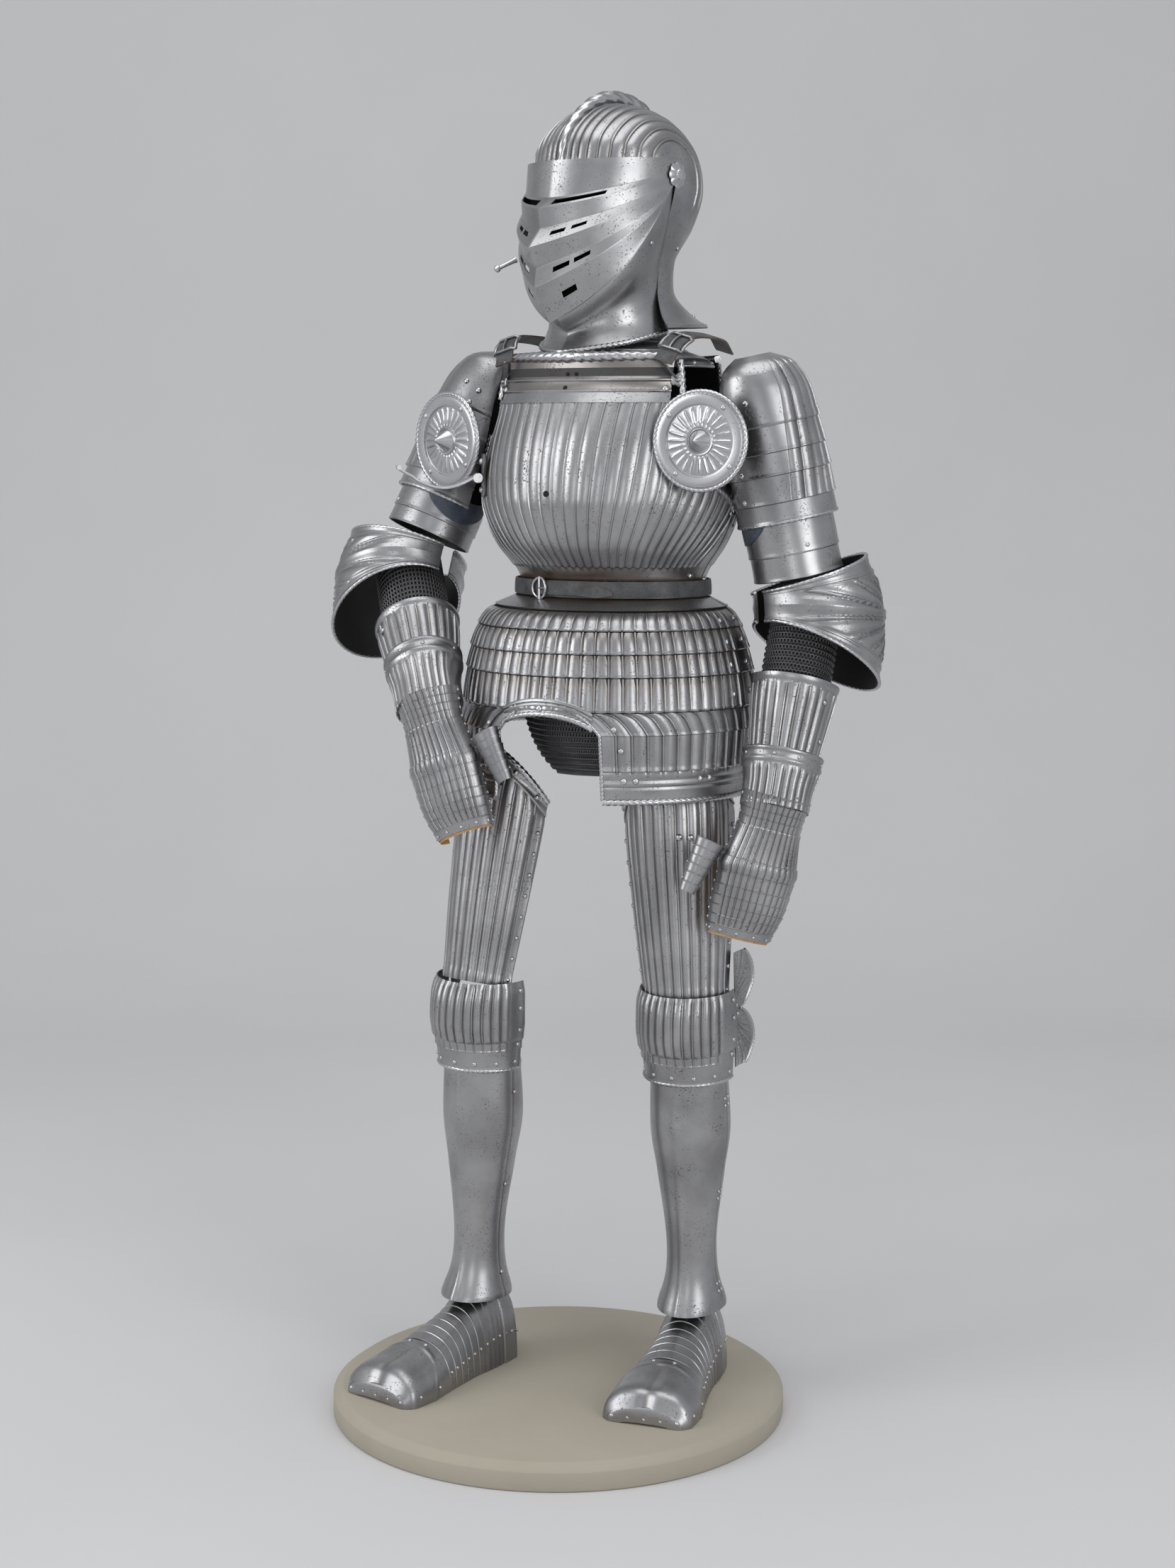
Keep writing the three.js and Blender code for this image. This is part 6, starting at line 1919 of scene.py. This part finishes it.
# ------------------------------------------------------------------ legs
@dataclass
class Leg:
    """One leg: cuisse, poleyn with its wing, greave and sabaton."""

    side: str
    mirror: bool
    turn: float
    hip: tuple
    knee: tuple
    ankle: tuple

    CUISSE = Rings(((-80, 66, 78, 72, -12), (0, 77, 78, 70), (120, 70, 72, 62), (242, 59, 61, 56)),
                   down=True)
    POLEYN = Rings(((-35, 65, 66, 56), (-15, 68, 74, 57), (20, 68, 77, 57), (60, 63, 66, 56),
                    (88, 60, 60, 55)),
                   down=True)
    GREAVE = Rings(((84, 53, 53, 54), (160, 55, 51, 64), (230, 46, 44, 54), (340, 34, 38, 38),
                    (400, 42, 50, 44),
                    (408, 45, 54, 46), (422, 47, 60, 47)), down=True)
    FOOT = ((-64, 10, 74), (-50, 34, 92), (0, 42, 108), (60, 46, 82), (120, 55, 60))
    TOE = ((120.6, 56, 60), (165, 62, 49), (198, 61, 40), (209, 52, 22))
    SOLE = 36.4

    def build(self, shop: Shop) -> None:
        """Make the pieces."""
        facing = (math.sin(math.radians(self.turn * 0.6)), -math.cos(math.radians(self.turn * 0.6)), 0.0)
        thigh = Place.limb(self.hip, self.knee, facing, self.mirror)
        shin = Place.limb(self.knee, self.ankle, facing, self.mirror)
        foot = Place.at(self.ankle[0], self.ankle[1], self.SOLE, self.turn)
        trim = Trim()
        self.cuisse(shop, trim, thigh)
        self.poleyn(shop, trim, shin)
        self.wing(shop, trim, shin)
        self.greave(shop, trim, shin)
        self.sabaton(shop, trim, foot)
        shop.trim(f"leg_{self.side}", trim)

    def cuisse(self, shop: Shop, trim: Trim, place: Place) -> None:
        """Make the thigh plate with its upper lame."""
        crest = lambda u: -72.0 * np.sin(np.pi * mix(0.02, 0.88, u))
        flutes, number = Flutes(1.6, 0.7, 1.0), 13
        count = flutes.places(0.0, number)
        us = count / number
        plain = ramp(us, 0.07, 0.09) * ramp(1 - us, 0.07, 0.09)
        ribs = flutes.heights(count) * plain
        border = np.interp(us, [0, 0.012, 0.03, 0.97, 0.988, 1], [0.2, 1.2, 0, 0, 1.2, 0.2])
        vs = joined(np.linspace(0, 0.94, 26), [0.95, 0.97, 0.985, 1.0])
        height = np.interp(vs, [0, 0.02, 0.94, 0.97, 1.0], [-1.2, -0.2, 0.6, 1.4, 0.4])
        fade = ramp(vs, 0.0, 0.05)
        form = Form()
        plate = Plate(self.CUISSE.wrapped(-72.0, 92.0, lambda u: crest(u) + 20.5, 254.0), us, vs,
                      height[:, None] + ribs[None, :] * fade[:, None] + border[None, :])
        plate.add_to(form, place)
        shop.piece(f"cuisse_{self.side}", form, shop.finishes.steel, [f"cuisse_{self.side}"])
        down = np.linspace(0.12, 0.96, 8)
        for edge in (0.035, 0.965):
            trim.rivet(place, plate.spot([edge] * 8, down, 0.8), 3.4)
        trim.rivet(place, plate.spot([0.56, 0.63], [0.28, 0.28], 1.4), 4.8)
        rows, relief = bands([(0, 0.6), (0.12, 1.6), (0.3, 0.0), (0.55, -0.2), (0.8, 0.3), (0.9, 1.4),
                              (1.0, 0.5)])
        form = Form()
        top = Plate(self.CUISSE.wrapped(-72.0, 92.0, crest, lambda u: crest(u) + 20),
                    np.linspace(0, 1, 60), rows,
                    relief[:, None])
        top.add_to(form, place)
        shop.piece(f"cuisse_top_{self.side}", form, shop.finishes.steel, [f"cuisse_top_{self.side}"])
        line, _ = top.spot(np.linspace(0, 1, 60), np.zeros(60), 0.4)
        trim.rope(place, line, 4.4, 0.8)
        trim.rivet(place, top.spot(np.linspace(0.08, 0.92, 6), [0.5] * 6, 0.4), 4.2)

    def poleyn(self, shop: Shop, trim: Trim, place: Place) -> None:
        """Make the knee plate and its lower lames."""
        top, foot = -35.0, 88.0
        edges = [(d - top) / (foot - top) for d in (-35, 48, 60, 88)]
        vs, heights = lames(edges, 1.3, 0.5, 5, lower_over=False)
        vs_all = joined(vs, np.linspace(0.03, 0.6, 16))
        heights = np.interp(vs_all, vs, heights)
        flutes, number = Flutes(1.8, 0.8, 1.2), 17
        count = flutes.places(0.0, number)
        us = count / number
        plain = ramp(us, 0.12, 0.14) * ramp(1 - us, 0.12, 0.14)
        fade = np.interp(vs_all, [0, 0.06, edges[1] - 0.01, edges[1], 0.78, 0.82], [0.4, 1, 1, 0.5, 0.5, 0])
        border = np.interp(us, [0, 0.012, 0.03, 0.97, 0.988, 1], [0.2, 1.2, 0, 0, 1.2, 0.2])
        relief = heights[:, None] + (flutes.heights(count) * plain)[None, :] * fade[:, None] + border[None,
                                                                                                      :]
        form = Form()
        plate = Plate(self.POLEYN.wrapped(-96.0, 96.0, top, foot), us, vs_all, relief)
        plate.add_to(form, place)
        shop.piece(f"poleyn_{self.side}", form, shop.finishes.steel, [f"poleyn_{self.side}"])
        line, _ = plate.spot(np.linspace(0, 1, 60), np.full(60, 1.0), 0.6)
        trim.rope(place, line, 3.0, 0.7)
        trim.rivet(place, plate.spot(np.linspace(0.06, 0.94, 7), [0.92] * 7, 1.0), 3.4)
        for edge in (0.05, 0.95):
            trim.rivet(place, plate.spot([edge] * 4, [0.1, 0.3, 0.55, 0.72], 1.0), 3.8)

    def wing(self, shop: Shop, trim: Trim, place: Place) -> None:
        """Make the fluted fan at the outer side of the knee."""
        def surface(u: Array, v: Array) -> Array:
            lobes = np.abs(np.sin(2 * np.pi * mix(0.04, 0.96, v))) ** 0.5
            spread = u * mix(0.35, 1.0, lobes)
            angle = np.radians(mix(98.0, 126.0, spread))
            reach = mix(66.0, 92.0, spread * spread)
            return np.stack([reach * np.sin(angle), -reach * np.cos(angle), -mix(-84.0, 76.0, v)], -1)

        us, vs = joined(np.linspace(0, 1, 30), [0.93, 0.96]), np.linspace(0, 1, 121)
        u, v = np.meshgrid(us, vs)
        polar = np.arctan2((v - 0.5) * 160, u * 45 + 12)
        flutes = Flutes(1.2, 0.5, 0.7)
        ribs = flutes.heights(polar * 6.5 + 0.5) * ramp(u, 0.05, 0.2) * ramp(0.92 - u, 0, 0.06)
        rim = np.interp(us, [0, 0.92, 0.96, 1], [0, 0, 1.3, 0.4])[None, :]
        form = Form()
        plate = Plate(surface, us, vs, ribs + rim, outward=-1)
        plate.add_to(form, place)
        shop.piece(f"knee_wing_{self.side}", form, shop.finishes.steel, [f"knee_wing_{self.side}"])
        line, _ = plate.spot(np.full(90, 1.0), np.linspace(0, 1, 90), 0.2)
        trim.rope(place, line, 2.0, 0.6)
        trim.rivet(place, plate.spot([0.2, 0.35], [0.46, 0.54], 0.6), 3.6)

    def greave(self, shop: Shop, trim: Trim, place: Place) -> None:
        """Make the closed shin tube with its keel, hinges and hooks."""
        us = joined(np.linspace(0, 1, 121), [0.004, 0.996, 0.25, 0.252, 0.748, 0.75])
        angle = us * 360
        keel = 2.6 * (np.exp(-((angle) / 7) ** 2) + np.exp(-((angle - 360) / 7) ** 2))
        seam = -0.7 * ((np.abs(angle - 90.3) < 0.5) | (np.abs(angle - 269.7) < 0.5))
        vs = joined(np.linspace(0, 1, 50), [0.01, 0.02, 0.985])
        rim = np.interp(vs, [0, 0.01, 0.02, 0.03, 0.97, 0.985, 1], [0.6, 1.4, 0.8, 0, 0, 0.8, 0.4])
        fade = ramp(vs, 0.03, 0.1)
        form = Form()
        plate = Plate(self.GREAVE.wrapped(0.0, 360.0, 84.0, 422.0), us, vs,
                      rim[:, None] + keel[None, :] * fade[:, None] + seam[None, :], wrap=True)
        plate.add_to(form, place)
        shop.piece(f"greave_{self.side}", form, shop.finishes.steel, [f"greave_{self.side}"])
        for u in (0.235, 0.265):
            trim.rivet(place, plate.spot([u] * 6, [0.1, 0.13, 0.5, 0.53, 0.9, 0.93], 0.4), 3.0)
        trim.rivet(place, plate.spot([0.74, 0.74, 0.74], [0.12, 0.52, 0.9], 0.4), 3.4)

    def foot_surface(self, rows: tuple) -> Surface:
        """Return a plate arched over the foot from sole edge to sole edge."""
        table = np.array(rows, float)

        def surface(u: Array, v: Array) -> Array:
            ahead = mix(table[0, 0], table[-1, 0], v)
            half, high = through(table[:, 0], table[:, 1], ahead), through(table[:, 0], table[:, 2], ahead)
            angle = np.radians(mix(-90.0, 90.0, u))
            across = np.sign(np.sin(angle)) * np.abs(np.sin(angle)) ** 0.8
            return np.stack([half * across, -ahead, high * np.abs(np.cos(angle)) ** 0.8], -1)

        return surface

    def sabaton(self, shop: Shop, trim: Trim, place: Place) -> None:
        """Make the laminated shoe and its broad toe."""
        surface = self.foot_surface(self.FOOT)
        span = 184.0
        downs = (-64, -8, 2, 12, 22, 34, 48, 62, 76, 90, 105, 120)
        vs, heights = lames([(d + 64) / span for d in downs], 1.3, 0.5, 3)
        us = joined(np.linspace(0, 1, 57), [0.492, 0.508])
        ridge = 1.6 * np.exp(-(((us - 0.5) * 20) ** 2))
        steep = np.interp(vs, [0, 0.5, 0.58, 1], [1.3, 1.3, 0.5, 0.4])
        form = Form()
        plate = Plate(surface, us, vs, (heights * steep)[:, None] + ridge[None, :])
        plate.add_to(form, place)
        shop.piece(f"sabaton_{self.side}", form, shop.finishes.steel, [f"sabaton_{self.side}"])
        along = np.linspace(0.12, 0.97, 12)
        for edge in (0.1, 0.9):
            trim.rivet(place, plate.spot([edge] * 12, along, 0.9), 2.7)
        toe_surface = self.foot_surface(self.TOE)
        vs = joined(np.linspace(0, 1, 30), [0.16, 0.2, 0.24])
        us = joined(np.linspace(0, 1, 57), [0.492, 0.508])
        u, v = np.meshgrid(us, vs)
        lip = 0.14 + 0.3 * np.abs(2 * u - 1) ** 1.6
        roll = 2.6 * np.exp(-(((v - lip) / 0.045) ** 2)) + 1.6 * ramp(v, lip, lip + 0.1)
        crease = -2.0 * np.exp(-(((u - 0.5) * 34) ** 2)) * ramp(v, 0.1, 0.3)
        form = Form()
        toe = Plate(toe_surface, us, vs, roll + crease)
        toe.add_to(form, place)
        self.toe_front(form, place)
        shop.piece(f"toe_cap_{self.side}", form, shop.finishes.steel, [f"toe_cap_{self.side}"])
        trim.rivet(place, toe.spot([0.44, 0.56], [0.06, 0.06], 0.8), 3.2)
        trim.rivet(place, toe.spot([0.06, 0.94, 0.06, 0.94], [0.3, 0.3, 0.75, 0.75], 1.2), 3.0)
        spots = np.stack([np.linspace(-46, 46, 5), np.full(5, -211.5), np.full(5, 8.0)], 1)
        trim.rivet(place, (spots, np.tile([0, -1.0, 0.2], (5, 1))), 3.2)

    def toe_front(self, form: Form, place: Place) -> None:
        """Close the toe with a blunt rounded front."""
        def surface(u: Array, v: Array) -> Array:
            angle = np.radians(mix(-90.0, 90.0, u))
            shrink = np.cos(v * np.pi / 2) ** 0.6
            across = np.sign(np.sin(angle)) * np.abs(np.sin(angle)) ** 0.8
            x = 52.6 * across * mix(1.0, 0.6, 1 - shrink)
            z = 23.2 * np.abs(np.cos(angle)) ** 0.8 * shrink
            return np.stack([x, -208.0 - 4.0 * np.sin(v * np.pi / 2), z], -1)

        Plate(surface, np.linspace(0, 1, 41), np.linspace(0, 0.98, 10), 1.0, 1.2).add_to(form,
                                                                                                    place)


@dataclass
class Plinth:
    """The round board the suit stands on."""

    radius: float = 312.5
    height: float = 36.0

    def build(self, shop: Shop) -> None:
        """Make the board with softened edges."""
        profile = [(5, 0), (309.5, 0), (311.8, 0.7), (312.5, 2.4), (312.5, 25.2), (311.9, 26.8),
                   (299.8, 35.3),
                   (298.2, 36.0), (5, 36.0)]
        form = Form()
        turned(form, Place.at(0, 0), profile, 144)
        shop.piece("plinth", form, shop.finishes.plinth, ["plinth"], Slot.PLINTH)


# ------------------------------------------------------------------ studio
@dataclass
class Lamp:
    """A soft rectangular light."""

    name: str
    place: tuple
    aim: tuple
    wide: float
    high: float
    power: float


@dataclass
class Studio:
    """Camera, pale floor and backdrop, and soft lights."""

    lens: float = 59.47
    azimuth: float = 30.0
    distance: float = 3.4685
    height: float = 1.3401
    aside: float = 0.0405
    tilt: float = 7.70
    lamps: tuple = (
        Lamp("key", (-2.6, -3.4, 2.7), (0, 0, 1.0), 2.4, 3.0, 66.0),
        Lamp("fill", (3.6, -1.6, 2.0), (0, 0, 1.0), 1.8, 2.8, 42.0),
        Lamp("front", (1.6, -4.6, 1.6), (0, 0, 0.9), 1.4, 2.4, 14.0),
        Lamp("top", (0.2, -0.4, 4.2), (0, 0, 1.0), 3.0, 3.0, 50.0),
    )

    def build(self) -> None:
        """Make the camera, the lights and the set."""
        self.camera()
        for lamp in self.lamps:
            self.light(lamp)
        self.backdrop()
        world = bpy.data.worlds.new("studio_air")
        bpy.context.scene.world = world
        world.use_nodes = True
        sky = world.node_tree.nodes["Background"]
        sky.inputs["Color"].default_value = (0.86, 0.87, 0.90, 1)
        sky.inputs["Strength"].default_value = 0.60
        bpy.context.scene.view_settings.view_transform = "Standard"

    def camera(self) -> None:
        """Make the camera at the viewing angle."""
        camera = bpy.data.cameras.new("camera")
        camera.lens, camera.sensor_width = self.lens, 36.0
        camera.clip_end = 60.0
        turn = math.radians(self.azimuth)
        spot = Vector((math.sin(turn) * self.distance, -math.cos(turn) * self.distance, self.height))
        spot += self.aside * Vector((math.cos(turn), math.sin(turn), 0))
        obj = bpy.data.objects.new("camera", camera)
        obj.location = spot
        obj.rotation_euler = (math.radians(90 - self.tilt), 0, turn)
        bpy.context.collection.objects.link(obj)
        bpy.context.scene.camera = obj

    @staticmethod
    def light(lamp: Lamp) -> None:
        """Make one area light."""
        data = bpy.data.lights.new(lamp.name, "AREA")
        data.shape, data.size, data.size_y, data.energy = "RECTANGLE", lamp.wide, lamp.high, lamp.power
        obj = bpy.data.objects.new(lamp.name, data)
        obj.location = lamp.place
        obj.rotation_euler = (Vector(lamp.aim) - Vector(lamp.place)).to_track_quat("-Z", "Y").to_euler()
        bpy.context.collection.objects.link(obj)

    def backdrop(self) -> None:
        """Make the floor and the wall it sweeps up into, as one curved sheet behind the suit."""
        turn = math.radians(self.azimuth)
        away = np.array([-math.sin(turn), math.cos(turn), 0.0])
        across = np.array([math.cos(turn), math.sin(turn), 0.0])
        bend = np.linspace(0, np.pi / 2, 16)
        run = np.concatenate([[-6.0, 2.2], 2.2 + 1.6 * np.sin(bend[1:]), [3.8]])
        rise = np.concatenate([[0.0, 0.0], 1.6 * (1 - np.cos(bend[1:])), [7.0]])
        points = [away * a + across * side + np.array([0, 0, z - 0.0004])
                  for a, z in zip(run, rise) for side in (-7.0, 7.0)]
        faces = [(2 * i, 2 * i + 1, 2 * i + 3, 2 * i + 2) for i in range(len(run) - 1)]
        mesh = bpy.data.meshes.new("studio_set")
        mesh.from_pydata([tuple(p) for p in points], [], faces)
        mesh.polygons.foreach_set("use_smooth", np.ones(len(faces), bool))
        mesh.materials.append(Paint("studio_paper", grey(0.62, 1.0, 1.01), grey(0.60, 1.0, 1.01), 0.95,
                                    1.5).material())
        obj = bpy.data.objects.new("studio_set", mesh)
        bpy.context.collection.objects.link(obj)


def main() -> None:
    """Build the suit, piece by piece, and the studio round it."""
    logging.basicConfig(level=logging.INFO, format="%(message)s")
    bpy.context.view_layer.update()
    shop = Shop(Finishes(), Growths())
    breast, mail = Breast(), Mail()
    Plinth().build(shop)
    breast.build(shop)
    Back().build(shop, breast)
    Belt().build(shop)
    Straps().build(shop)
    Shields().build(shop)
    LanceRest().build(shop)
    Gorget().build(shop)
    Skirt().build(shop)
    mail.build(shop)
    Helmet().build(shop)
    arms = (
        Arm("left", False, (238, 130, 1400), (290, 166, 1098), (288, 76, 850), (258, 38, 672), (0, -1, 0),
            (0.5, -0.86, 0), (0.72, -0.7, 0), 236.0, -84.0, 190.0),
        Arm("right", True, (-190, 145, 1405), (-272, 52, 1140), (-152, -80, 975), (-93, -106, 826),
            (0, -1, 0),
            (0.2, -1, 0.6), (-0.1, -1, 0.2), 212.0, -60.0, 158.0),
    )
    legs = (
        Leg("left", False, 10.0, (131, 110, 830), (157, 84, 560), (152, 112, 120)),
        Leg("right", True, -9.0, (-110, 69, 830), (-125, 7, 560), (-137, 8, 120)),
    )
    for arm in arms:
        arm.build(shop, mail)
    for leg in legs:
        leg.build(shop)
    Studio().build()
    log.info("triangles in all: %d", shop.triangles)


if __name__ == "__main__":
    main()
